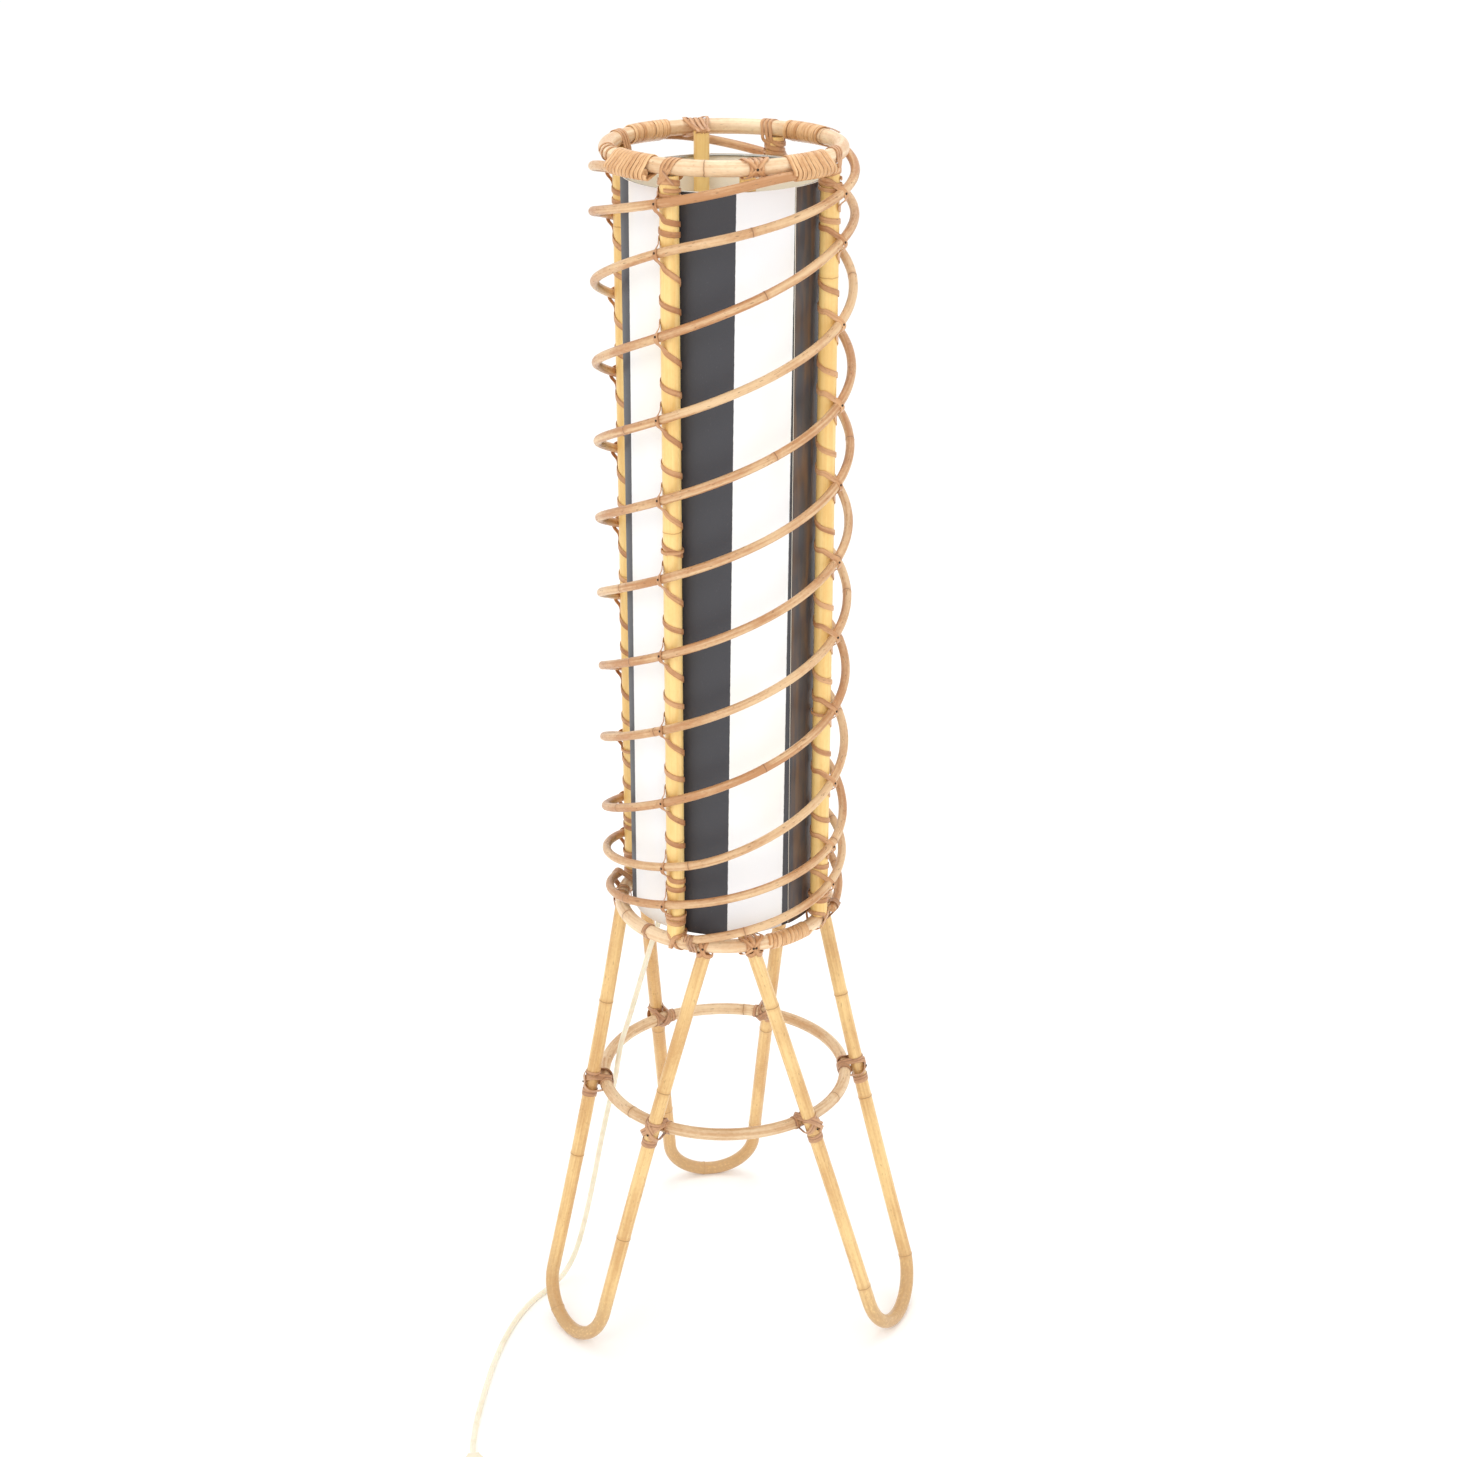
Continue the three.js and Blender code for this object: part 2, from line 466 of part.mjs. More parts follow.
// ---- Mains lead, switch, coil and plug ----------------------------------------------------------------
// Its points are chosen by hand, from the cord grip down through the lower hoop, past the inside of the
// stretcher, down behind the left leg and along the floor.
const FLOOR = CORD / 2 + 0.2;
const LEAD = [
  [0, 0, gripLow - GAP], [-0.5, 0.2, 612], [-4, 1.2, 592], [-12, 3, 567], [-24, 5, 541], [-37, 7.5, 516],
  [-51, 10, 487], [-64, 12, 452], [-77, 14, 410], [-89, 16, 366], [-102, 18, 318], [-111.2, 19, 286],
  [-115.1, 19.3, 264], [-119, 20, 240], [-127, 20, 204], [-136, 18, 160], [-145, 14, 112], [-155, 7, 66],
  [-165, -2, 32], [-177, -14, 12], [-192, -30, 4], [-208, -52, FLOOR], [-222, -82, FLOOR], [-233, -120, FLOOR],
  [-241, -165, FLOOR], [-246, -212, FLOOR], [-249, -256, FLOOR], [-249, -292, FLOOR],
];
const heading = (degrees) => V(Math.cos(rad(degrees)), Math.sin(rad(degrees)), 0);
const switchHead = heading(SWITCH.heading);
const switchMid = V(SWITCH.x, SWITCH.y, 0);
const switchEnd = (half) => switchMid.clone().addScaledVector(switchHead, half * (SWITCH.length / 2 + GAP));
const cordTube = (points, steps) => new THREE.ExtrudeGeometry(polygon(CORD / 2, 8), {
  steps, extrudePath: new THREE.CatmullRomCurve3(points, false, 'centripetal'),
});
const switchIn = switchEnd(-1).setZ(SWITCH.base);
const leadPoints = [
  ...LEAD.map(([x, y, z]) => V(x, y, z)),
  switchIn.clone().addScaledVector(switchHead, -14).setZ(SWITCH.base - 1.5),
  switchIn,
];
place('cord_lead', cordTube(leadPoints, 66), IVORY);

const halfBody = (height, corner) => {
  const shape = new THREE.Shape();
  const x = SWITCH.length / 2;
  const y = SWITCH.width / 2;
  shape.moveTo(-x, -y * 0.45).quadraticCurveTo(-x + corner, -y, -x + 2 * corner, -y);
  shape.lineTo(x - 2 * corner, -y).quadraticCurveTo(x - corner, -y, x, -y * 0.45);
  shape.lineTo(x, y * 0.45).quadraticCurveTo(x - corner, y, x - 2 * corner, y);
  shape.lineTo(-x + 2 * corner, y).quadraticCurveTo(-x + corner, y, -x, y * 0.45);
  return new THREE.ExtrudeGeometry(shape, { depth: height, bevelEnabled: false, curveSegments: 4 });
};
const onSwitch = (geometry) => geometry.rotateZ(rad(SWITCH.heading)).translate(SWITCH.x, SWITCH.y, 0);
const switchTop = SWITCH.base + GAP + SWITCH.cover;
place('switch_base', onSwitch(halfBody(SWITCH.base, 9)), IVORY);
const rockerWell = new THREE.BoxGeometry(ROCKER.length + 2, ROCKER.width + 1, ROCKER.depth + 2)
  .translate(0, 0, switchTop - ROCKER.depth / 2 + 1);
place('switch_cover', onSwitch(cut(halfBody(SWITCH.cover, 9).translate(0, 0, SWITCH.base + GAP), rockerWell)), IVORY);
const rockerOutline = new THREE.Shape([
  [-1, 0.2], [-0.45, -1], [0.45, -1], [1, 0.2], [1, 1], [0, 0.72], [-1, 1],
].map(([x, y]) => new THREE.Vector2(x * ROCKER.length / 2, y * ROCKER.depth / 3)));
const rocker = new THREE.ExtrudeGeometry(rockerOutline, { depth: ROCKER.width, bevelEnabled: false })
  .translate(0, 0, -ROCKER.width / 2).rotateX(Math.PI / 2).rotateY(rad(ROCKER.tilt))
  .translate(0, 0, switchTop - ROCKER.depth / 3 + ROCKER.rise);
place('switch_rocker', onSwitch(rocker), finish(0x7a5a3a, 0.4));

const coilHigh = COIL.turns * CORD;
place('cord_coil', turned([
  [COIL.mean - CORD, 0.1], [COIL.mean + CORD, 0.1], [COIL.mean + CORD, coilHigh - 1.2],
  [COIL.mean + CORD - 1.2, coilHigh], [COIL.mean - CORD + 1.2, coilHigh], [COIL.mean - CORD, coilHigh - 1.2],
], 24).translate(COIL.x, COIL.y, 0), IVORY);
const switchOut = switchEnd(1).setZ(SWITCH.base);
const LINK = [[-234.3, -388, 7.9], [-234.3, -397, 6], [-235.3, -409, 3.8]];
const coilOuter = COIL.mean + CORD + CORD / 2 + 2 * GAP;
const linkEnd = V(COIL.x, COIL.y, FLOOR).add(heading(180).multiplyScalar(coilOuter));
place('cord_link', cordTube([switchOut, ...LINK.map(([x, y, z]) => V(x, y, z)), linkEnd], 8), IVORY);

const plugHead = heading(PLUG.heading);
const plugBack = V(PLUG.x, PLUG.y, PLUG.thick / 2);
const tailStart = V(COIL.x, COIL.y, FLOOR).add(heading(270).multiplyScalar(coilOuter));
const TAIL = [[-181, -463.6, FLOOR], [-167, -461.8, FLOOR + 2.5], [-156, -458.7, 6.6]];
place('cord_tail', cordTube([tailStart, ...TAIL.map(([x, y, z]) => V(x, y, z)),
  plugBack.clone().addScaledVector(plugHead, -GAP)], 8), IVORY);
const onPlug = (geometry, ahead, aside) => geometry.rotateZ(rad(PLUG.heading - 90))
  .translate(...plugBack.clone().addScaledVector(plugHead, ahead)
    .addScaledVector(heading(PLUG.heading + 90), aside).toArray());
const plugOutline = new THREE.Shape([
  [-0.28, 0], [0.28, 0], [0.3, 0.3], [0.5, 0.55], [0.5, 1], [-0.5, 1], [-0.5, 0.55], [-0.3, 0.3],
].map(([x, y]) => new THREE.Vector2(x * PLUG.width, y * PLUG.length)));
place('plug_body', onPlug(new THREE.ExtrudeGeometry(plugOutline, { depth: PLUG.thick, bevelEnabled: false })
  .translate(0, 0, -PLUG.thick / 2), 0, 0), IVORY);
[['left', 0.5], ['right', -0.5]].forEach(([name, half]) => {
  const pin = new THREE.CylinderGeometry(PIN.radius, PIN.radius, PIN.length, 10)
    .translate(0, PIN.length / 2 + GAP, 0);
  place(`plug_pin_${name}`, onPlug(pin, PLUG.length, half * PIN.spacing), BRASS);
});

// ---- Origin -------------------------------------------------------------------------------------------
const ON_CORD = /^(cord_lead|cord_link|cord_tail|cord_coil|switch_|plug_)/;
const footprint = new THREE.Box3();
lamp.updateMatrixWorld(true);
lamp.children.filter((mesh) => !ON_CORD.test(mesh.name)).forEach((mesh) => footprint.expandByObject(mesh, true));
const middle = footprint.getCenter(new THREE.Vector3());
lamp.position.set(-middle.x, -middle.y, 0);

export default lamp;
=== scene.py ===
"""Rattan floor lamp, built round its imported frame.

Three hairpin legs and a stretcher hoop carry a cage of four poles, two inner poles, four spiral rods and two
hoops. Split cane binds every joint. A striped sheet cylinder stands in the cage round a lampholder on a cross
strap, and the mains lead runs down through the legs. Lengths are in metres and angles in degrees. Azimuths run
from the front (-Y), positive towards +X.
"""

from __future__ import annotations

import json
import logging
import math
import random
import sys
from dataclasses import dataclass, field
from enum import Enum
from functools import cached_property
from typing import Callable, Sequence

import bmesh
import bpy
import numpy as np
from mathutils import Matrix, Vector

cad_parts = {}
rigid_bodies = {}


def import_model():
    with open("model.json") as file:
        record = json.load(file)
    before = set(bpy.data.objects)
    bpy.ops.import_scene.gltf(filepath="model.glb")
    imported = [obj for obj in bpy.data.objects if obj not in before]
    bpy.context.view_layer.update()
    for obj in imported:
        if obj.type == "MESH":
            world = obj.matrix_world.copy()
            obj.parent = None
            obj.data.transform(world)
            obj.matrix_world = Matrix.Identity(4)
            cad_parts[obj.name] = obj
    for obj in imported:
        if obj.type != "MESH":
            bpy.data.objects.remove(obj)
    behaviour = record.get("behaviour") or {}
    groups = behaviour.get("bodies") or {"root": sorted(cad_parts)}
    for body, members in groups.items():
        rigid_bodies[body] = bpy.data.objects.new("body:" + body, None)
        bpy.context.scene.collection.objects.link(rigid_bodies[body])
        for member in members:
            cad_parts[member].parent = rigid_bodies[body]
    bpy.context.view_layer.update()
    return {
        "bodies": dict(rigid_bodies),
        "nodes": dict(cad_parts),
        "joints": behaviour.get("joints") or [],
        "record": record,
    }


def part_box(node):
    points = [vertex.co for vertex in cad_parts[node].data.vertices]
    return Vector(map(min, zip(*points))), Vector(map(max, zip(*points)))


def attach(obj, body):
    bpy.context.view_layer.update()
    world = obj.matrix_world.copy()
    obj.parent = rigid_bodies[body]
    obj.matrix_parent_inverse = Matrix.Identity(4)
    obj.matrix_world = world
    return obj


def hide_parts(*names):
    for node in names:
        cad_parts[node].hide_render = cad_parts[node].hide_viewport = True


LOG = logging.getLogger("floor_lamp")
UP = Vector((0.0, 0.0, 1.0))
Piece = bpy.types.Object
Socket = bpy.types.NodeSocket
Tree = bpy.types.NodeTree
Material = bpy.types.Material
Shape = bmesh.types.BMesh
Outline = Sequence[tuple[float, float]]
Leans = Sequence[tuple[int, float]]
# The origin and both directions of a plane across canes, and such planes by the share of the way along.
Plane = tuple[Vector, Vector, Vector]
Planes = Callable[[float], Plane]
# The middle and radius of each cane that a strip goes round, seen end on.
Canes = Sequence[tuple[float, float, float]]
SHARP_BEND = 0.7
CROWN = 0.7


class Body(str, Enum):
    """The bodies of the frame that a piece can ride on."""

    LAMP = "lamp"
    BULB = "bulb"
    ROCKER = "rocker"


class Slot(str, Enum):
    """The record's finishes."""

    HOOP = "hoop_cane"
    LEG = "leg_cane"
    POLE = "pole_cane"
    ROD = "rod_cane"
    STRIP = "cane_strip"
    SHEET = "shade_sheet"
    STEEL = "steel"
    BRASS = "brass"
    HOLDER = "holder_plastic"
    GLASS = "bulb_glass"
    CORD = "cord_sheath"
    SWITCH = "switch_plastic"
    ROCKER = "rocker_plastic"


def outward(azimuth: float) -> Vector:
    """Returns the level direction away from the lamp's axis at an azimuth."""
    turn = math.radians(azimuth)
    return Vector((math.sin(turn), -math.cos(turn), 0.0))


def along(azimuth: float) -> Vector:
    """Returns the level direction round the lamp, towards larger azimuths."""
    turn = math.radians(azimuth)
    return Vector((math.cos(turn), math.sin(turn), 0.0))


def ring(radius: float, count: int) -> list[tuple[float, float]]:
    """Returns places spaced evenly round a level circle, from +X."""
    turns = [2 * math.pi * k / count for k in range(count)]
    return [(radius * math.cos(turn), radius * math.sin(turn)) for turn in turns]


def baked(piece: bpy.types.Object) -> bpy.types.Mesh:
    """Returns the mesh that an object's modifiers make of it, and takes them off the object.

    Args:
        piece: the object.

    Returns:
        The new mesh, with its attributes.
    """
    graph = bpy.context.evaluated_depsgraph_get()
    graph.update()
    shaped = piece.evaluated_get(graph)
    mesh = bpy.data.meshes.new_from_object(shaped, preserve_all_data_layers=True, depsgraph=graph)
    piece.modifiers.clear()
    return mesh


def bevelled(piece: bpy.types.Object, width: float, segments: int, least: float) -> None:
    """Rounds an object's sharp edges.

    Args:
        piece: the object.
        width: the width of the rounded edges.
        segments: how many faces each edge becomes.
        least: the turn in degrees from which an edge counts as sharp.
    """
    edges = piece.modifiers.new("edges", "BEVEL")
    edges.width = width
    edges.segments = segments
    edges.limit_method = "ANGLE"
    edges.angle_limit = math.radians(least)


def smoothstep(x: float, low: float, high: float) -> float:
    """Returns x eased from 0 at low to 1 at high."""
    share = min(1.0, max(0.0, (x - low) / (high - low)))
    return share * share * (3 - 2 * share)


def tint(code: str) -> tuple[float, float, float, float]:
    """Turns a six-digit sRGB code into a linear colour."""
    parts = [int(code[i : i + 2], 16) / 255 for i in (0, 2, 4)]
    linear = [c / 12.92 if c <= 0.04045 else ((c + 0.055) / 1.055) ** 2.4 for c in parts]
    return (*linear, 1.0)


# ---- Chains: what canes and strips follow --------------------------------------------------------------


@dataclass
class Chain:
    """A line that a cane or a strip follows.

    Attributes:
        points: places along the line.
        sides: the direction of the section's own x axis at each place.
        girth: the section's scale, which is a round cane's radius.
        rings: distances along the line at which the cane has a growth ring.
        closed: whether the line comes back to its start.
        tone: a shift of the cane's colour, from -1 to 1.
    """

    points: list[Vector]
    sides: list[Vector]
    girth: float = 1.0
    rings: list[float] = field(default_factory=list)
    closed: bool = False
    tone: float = 0.0

    def evened(self, step: float) -> "Chain":
        """Spaces the line evenly, with closer places round each growth ring.

        Args:
            step: the distance between places.

        Returns:
            A new chain on the same line.
        """
        place = np.array([p[:] for p in self.points])
        side = np.array([s[:] for s in self.sides])
        if self.closed:
            place, side = np.vstack([place, place[:1]]), np.vstack([side, side[:1]])
        run = np.concatenate([[0.0], np.cumsum(np.linalg.norm(np.diff(place, axis=0), axis=1))])
        marks = list(np.linspace(0.0, run[-1], max(2, round(run[-1] / step) + 1)))
        near = [-0.004, -0.0025, -0.0014, -0.0007, 0.0, 0.0007, 0.0014, 0.0025, 0.004]
        marks += [r + n for r in self.rings for n in near if 0 < r + n < run[-1]]
        marks = np.unique(np.round(marks, 5))
        marks = marks[np.concatenate([[True], np.diff(marks) > 0.0003])]
        if self.closed:
            marks = marks[:-1]
        spread = [np.column_stack([np.interp(marks, run, a[:, k]) for k in range(3)]) for a in (place, side)]
        points, sides = ([Vector(row) for row in rows] for rows in spread)
        last = len(points) - 1
        for i, side in enumerate(sides):
            ahead = points[(i + 1) % (last + 1) if self.closed else min(i + 1, last)]
            run_on = (ahead - points[i - 1 if self.closed else max(i - 1, 0)]).normalized()
            sides[i] = (side - run_on * side.dot(run_on)).normalized()
        return Chain(points, sides, self.girth, self.rings, self.closed, self.tone)

    def ring_distance(self) -> list[float]:
        """Returns each place's signed distance to the nearest growth ring, or 1 where there is none."""
        if not self.rings:
            return [1.0] * len(self.points)
        run = [0.0]
        for a, b in zip(self.points, self.points[1:]):
            run.append(run[-1] + (b - a).length)
        return [min((r - ring for ring in self.rings), key=abs) for r in run]


def eased(points: Sequence[Vector], sides: Sequence[Vector], closed: bool = False, fine: int = 7) -> Chain:
    """Draws a smooth line through a few places.

    Args:
        points: the places that the line goes through.
        sides: the section's x direction at each of them.
        closed: whether the line comes back to its start.
        fine: how many steps lie between two places.

    Returns:
        A chain through the places.
    """
    count = len(points)
    hold = (lambda i: i % count) if closed else (lambda i: min(max(i, 0), count - 1))
    slopes = []
    for i in range(count):
        before, here, after = points[hold(i - 1)], points[i], points[hold(i + 1)]
        slopes.append((after - before) / max(1e-9, (after - here).length + (here - before).length))
    line, turned_sides = [], []
    for i in range(count if closed else count - 1):
        j = hold(i + 1)
        chord = (points[j] - points[i]).length
        a, b = points[i] + slopes[i] * chord / 3, points[j] - slopes[j] * chord / 3
        for k in range(fine):
            t = k / fine
            s = 1 - t
            line.append(points[i] * s**3 + a * (3 * s * s * t) + b * (3 * s * t * t) + points[j] * t**3)
            turned_sides.append(sides[i].lerp(sides[j], t).normalized())
    if not closed:
        line.append(points[-1].copy())
        turned_sides.append(sides[-1].copy())
    return Chain(line, turned_sides, closed=closed)


# ---- Node trees ----------------------------------------------------------------------------------------


class Nodes:
    """Adds nodes to a tree and joins them, with sockets found by identifier or name."""

    def __init__(self, tree: Tree) -> None:
        """Starts on a tree."""
        self.tree = tree

    @staticmethod
    def find(sockets: bpy.types.bpy_prop_collection, key: str | int) -> Socket:
        """Finds a socket.

        Args:
            sockets: a node's inputs or outputs.
            key: the socket's number, identifier or name.

        Returns:
            The first socket that answers to it.
        """
        if isinstance(key, int):
            return sockets[key]
        return ([s for s in sockets if s.identifier == key] or [s for s in sockets if s.name == key])[0]

    def add(self, kind: str, inputs: dict | None = None, **settings: object) -> bpy.types.Node:
        """Adds a node.

        Args:
            kind: the node's type.
            inputs: what each input is set to or joined to.
            **settings: the node's own properties.

        Returns:
            The node.
        """
        node = self.tree.nodes.new(kind)
        for name, value in settings.items():
            setattr(node, name, value)
        for key, value in (inputs or {}).items():
            self.feed(self.find(node.inputs, key), value)
        return node

    def feed(self, socket: Socket, value: object) -> None:
        """Joins an output to a socket, or sets the socket to a plain value.

        Args:
            socket: the input socket.
            value: an output socket, a plain value, or None to leave the input as it is.
        """
        if isinstance(value, Socket):
            self.tree.links.new(value, socket)
        elif value is not None:
            socket.default_value = value

    def feed_all(self, node: bpy.types.Node, **values: object) -> None:
        """Feeds several inputs of a node, named with _ for each space."""
        for name, value in values.items():
            self.feed(node.inputs[name.replace("_", " ")], value)

    def math(self, operation: str, a: object, b: object = None, c: object = None) -> Socket:
        """Returns the result of one sum on numbers."""
        return self.add("ShaderNodeMath", {0: a, 1: b, 2: c}, operation=operation).outputs[0]

    def times(self, a: object, b: object) -> Socket:
        """Returns a times b."""
        return self.math("MULTIPLY", a, b)

    def minus(self, a: object, b: object) -> Socket:
        """Returns a less b."""
        return self.math("SUBTRACT", a, b)

    def fused(self, a: object, b: object, c: object) -> Socket:
        """Returns a times b, plus c."""
        return self.math("MULTIPLY_ADD", a, b, c)

    def vector(self, operation: str, a: object, b: object = None) -> Socket:
        """Returns the result of one sum on vectors."""
        return self.add("ShaderNodeVectorMath", {0: a, 1: b}, operation=operation).outputs[0]

    def join(self, x: object = None, y: object = None, z: object = None) -> Socket:
        """Returns a vector made from numbers."""
        return self.add("ShaderNodeCombineXYZ", {0: x, 1: y, 2: z}).outputs[0]

    def split(self, value: object) -> bpy.types.bpy_prop_collection:
        """Returns a vector's three numbers."""
        return self.add("ShaderNodeSeparateXYZ", {0: value}).outputs

    def own(self, name: str, output: str = "Vector") -> Socket:
        """Returns an attribute of the mesh that is shaded."""
        return self.add("ShaderNodeAttribute", attribute_name=name).outputs[output]

    def place(self) -> Socket:
        """Returns the shaded point in the object's own coordinates."""
        return self.add("ShaderNodeTexCoord").outputs["Object"]

    def ramp(self, value: object, low: float, high: float, start: float = 0.0, end: float = 1.0) -> Socket:
        """Returns a value eased from start at low to end at high."""
        inputs = {"Value": value, "From Min": low, "From Max": high, "To Min": start, "To Max": end}
        return self.add("ShaderNodeMapRange", inputs, interpolation_type="SMOOTHSTEP").outputs["Result"]

    def blend(self, share: object, a: object, b: object) -> Socket:
        """Returns colour a mixed with colour b by a share."""
        node = self.add("ShaderNodeMix", {"Factor_Float": share, "A_Color": a, "B_Color": b}, data_type="RGBA")
        return self.find(node.outputs, "Result_Color")

    def noise(self, place: object, scale: tuple[float, float, float], detail: float = 2.0) -> Socket:
        """Returns a noise over a place that is stretched by a scale, from 0 to 1."""
        inputs = {"Vector": self.vector("MULTIPLY", place, scale), "Scale": 1.0, "Detail": detail}
        return self.add("ShaderNodeTexNoise", inputs).outputs["Fac"]


FLOAT = "NodeSocketFloat"
COUNT = "NodeSocketInt"
COLOR = "NodeSocketColor"
GEOMETRY = "NodeSocketGeometry"
MATERIAL = "NodeSocketMaterial"
SURFACE = {"Color": COLOR, "Roughness": FLOAT, "Height": FLOAT}


def new_group(
    name: str, kind: str, inputs: dict[str, object], outputs: dict[str, str]
) -> tuple[Nodes, dict, bpy.types.Node]:
    """Starts a node group.

    Args:
        name: the group's name.
        kind: the tree's type.
        inputs: each input's first value, or its socket type where it has none.
        outputs: each output's socket type.

    Returns:
        The group's nodes, its input sockets by name, and its output node.
    """
    tree = bpy.data.node_groups.new(name, kind)
    for label, start in inputs.items():
        plain = {float: FLOAT, int: COUNT}.get(type(start))
        socket = tree.interface.new_socket(label, in_out="INPUT", socket_type=plain or start)
        if plain:
            socket.default_value = start
    for label, socket_type in outputs.items():
        tree.interface.new_socket(label, in_out="OUTPUT", socket_type=socket_type)
    nodes = Nodes(tree)
    source = nodes.add("NodeGroupInput")
    return nodes, {s.name: s for s in source.outputs if s.name}, nodes.add("NodeGroupOutput")


# The noises in a cane: how fine each is across, across and along it, per metre, and its detail.
CANE_NOISES = {
    "fibre": ((1500, 1500, 26), 3.0),
    "streak": ((330, 330, 7), 2.0),
    "blotch": ((45, 45, 16), 3.0),
    "mottle": ((420, 420, 240), 2.0),
    "speck": ((620, 620, 170), 1.0),
    "wobble": ((260, 260, 0), 1.0),
}
RIB_WAVES = 1750.0
FLOOR_DUST = "c39c6c"


def cane_grain_group() -> Tree:
    """Builds the shading that every cane and strip shares: fibres, blotches, flecks, growth rings and dust.

    Returns:
        The shader group.
    """
    colours = dict.fromkeys(("Pale", "Deep", "Fleck", "Ring"), COLOR)
    numbers = {"Contrast": 0.5, "Flecks": 0.4, "Ribs": 0.0, "Roughness": 0.45, "Dust": 0.0}
    nodes, given, out = new_group("cane_grain", "ShaderNodeTree", {**colours, **numbers}, SURFACE)
    times, fused, ramp = nodes.times, nodes.fused, nodes.ramp
    cane, tone, ring = nodes.own("cane"), nodes.own("tone", "Fac"), nodes.own("joint", "Fac")
    place = nodes.vector("ADD", cane, nodes.join(times(tone, 3.7), None, tone))
    fibre, streak, blotch, mottle, speck, wobble = (nodes.noise(place, *v) for v in CANE_NOISES.values())
    flecks = times(ramp(speck, 0.66, 0.74), given["Flecks"])
    fade = fused(blotch, 0.9, times(streak, 0.75))
    fade = nodes.math("ADD", fade, fused(mottle, 0.25, times(tone, 0.22)))
    fade = fused(nodes.minus(fade, 0.95), times(given["Contrast"], 2.6), 0.5)
    colour = nodes.blend(ramp(fade, 0.0, 1.0), given["Pale"], given["Deep"])
    colour = nodes.blend(times(ramp(fibre, 0.35, 0.75), 0.16), colour, given["Deep"])
    colour = nodes.blend(flecks, colour, given["Fleck"])
    from_ring = nodes.math("ABSOLUTE", nodes.math("ADD", ring, fused(wobble, 0.0016, -0.0008)))
    line = ramp(from_ring, 0.00022, 0.00085, 1.0, 0.0)
    colour = nodes.blend(ramp(from_ring, 0.0005, 0.0052, 0.5, 0.0), colour, given["Deep"])
    colour = nodes.blend(times(line, 0.72), colour, given["Ring"])
    level = fused(blotch, 0.09, nodes.split(nodes.place())[2])
    dull = times(ramp(level, 0.05, 0.14, 1.0, 0.0), given["Dust"])
    colour = nodes.blend(times(dull, ramp(mottle, 0.2, 0.55, 0.35, 1.0)), colour, tint(FLOOR_DUST))
    ribs = nodes.math("SINE", times(nodes.split(cane)[2], RIB_WAVES))
    height = nodes.minus(fused(fibre, 0.5, times(streak, 0.3)), times(line, 0.9))
    height = fused(ribs, times(ramp(blotch, 0.4, 0.62), given["Ribs"]), height)
    height = nodes.minus(height, times(flecks, 0.35))
    rough = fused(flecks, 0.2, fused(nodes.minus(mottle, 0.5), 0.32, given["Roughness"]))
    nodes.feed_all(out, Color=colour, Roughness=rough, Height=height)
    return nodes.tree


def moulded_group() -> Tree:
    """Builds the fine unevenness that moulded and metal pieces share: dust, scuffs and a soft grain.

    Returns:
        The shader group.
    """
    inputs = {"Base": COLOR, "Worn": COLOR, "Grain Scale": 1400.0, "Wear": 0.3, "Roughness": 0.4}
    nodes, given, out = new_group("moulded_grain", "ShaderNodeTree", inputs, SURFACE)
    place = nodes.place()
    looks = {"Vector": place, "Scale": given["Grain Scale"], "Detail": 2.0}
    grain = nodes.add("ShaderNodeTexNoise", looks).outputs["Fac"]
    cloud = nodes.noise(place, (70, 70, 70), 4.0)
    scuff = nodes.noise(place, (900, 120, 900), 2.0)
    colour = nodes.blend(nodes.times(nodes.ramp(cloud, 0.42, 0.75), given["Wear"]), given["Base"], given["Worn"])
    rough = nodes.fused(nodes.minus(cloud, 0.5), 0.3, given["Roughness"])
    rough = nodes.fused(nodes.ramp(scuff, 0.6, 0.8), 0.12, rough)
    height = nodes.fused(grain, 0.6, nodes.times(scuff, 0.2))
    nodes.feed_all(out, Color=colour, Roughness=rough, Height=height)
    return nodes.tree


# ---- Finishes ------------------------------------------------------------------------------------------


def new_material(name: str) -> tuple[Material, Nodes, bpy.types.Node]:
    """Starts a material.

    Args:
        name: the material's name.

    Returns:
        The material, its nodes and its surface shader.
    """
    material = bpy.data.materials.new(name)
    material.use_nodes = True
    shader = next(n for n in material.node_tree.nodes if n.type == "BSDF_PRINCIPLED")
    return material, Nodes(material.node_tree), shader


def roughen(nodes: Nodes, shader: bpy.types.Node, height: Socket, depth: float, strength: float = 0.6) -> None:
    """Turns a height into the surface's fine relief.

    Args:
        nodes: the material's nodes.
        shader: the surface shader.
        height: the height, in shares of the depth.
        depth: the relief's depth.
        strength: how strongly it shows.
    """
    bump = nodes.add("ShaderNodeBump", {"Height": height, "Strength": strength, "Distance": depth})
    nodes.feed(shader.inputs["Normal"], bump.outputs["Normal"])


def on_grain(name: str, grain: Tree, given: dict[str, object], depth: float, **settings: float) -> Material:
    """Builds a material on a shared shader group.

    Args:
        name: the material's name.
        grain: the shader group.
        given: the group's own inputs, with colours as sRGB codes.
        depth: the relief's depth.
        **settings: the surface shader's plain inputs, with _ for each space in their names.

    Returns:
        The material.
    """
    material, nodes, shader = new_material(name)
    group = nodes.add("ShaderNodeGroup", node_tree=grain)
    for key, value in given.items():
        group.inputs[key].default_value = tint(value) if isinstance(value, str) else value
    nodes.feed_all(shader, Base_Color=group.outputs["Color"], Roughness=group.outputs["Roughness"], **settings)
    roughen(nodes, shader, group.outputs["Height"], depth)
    return material


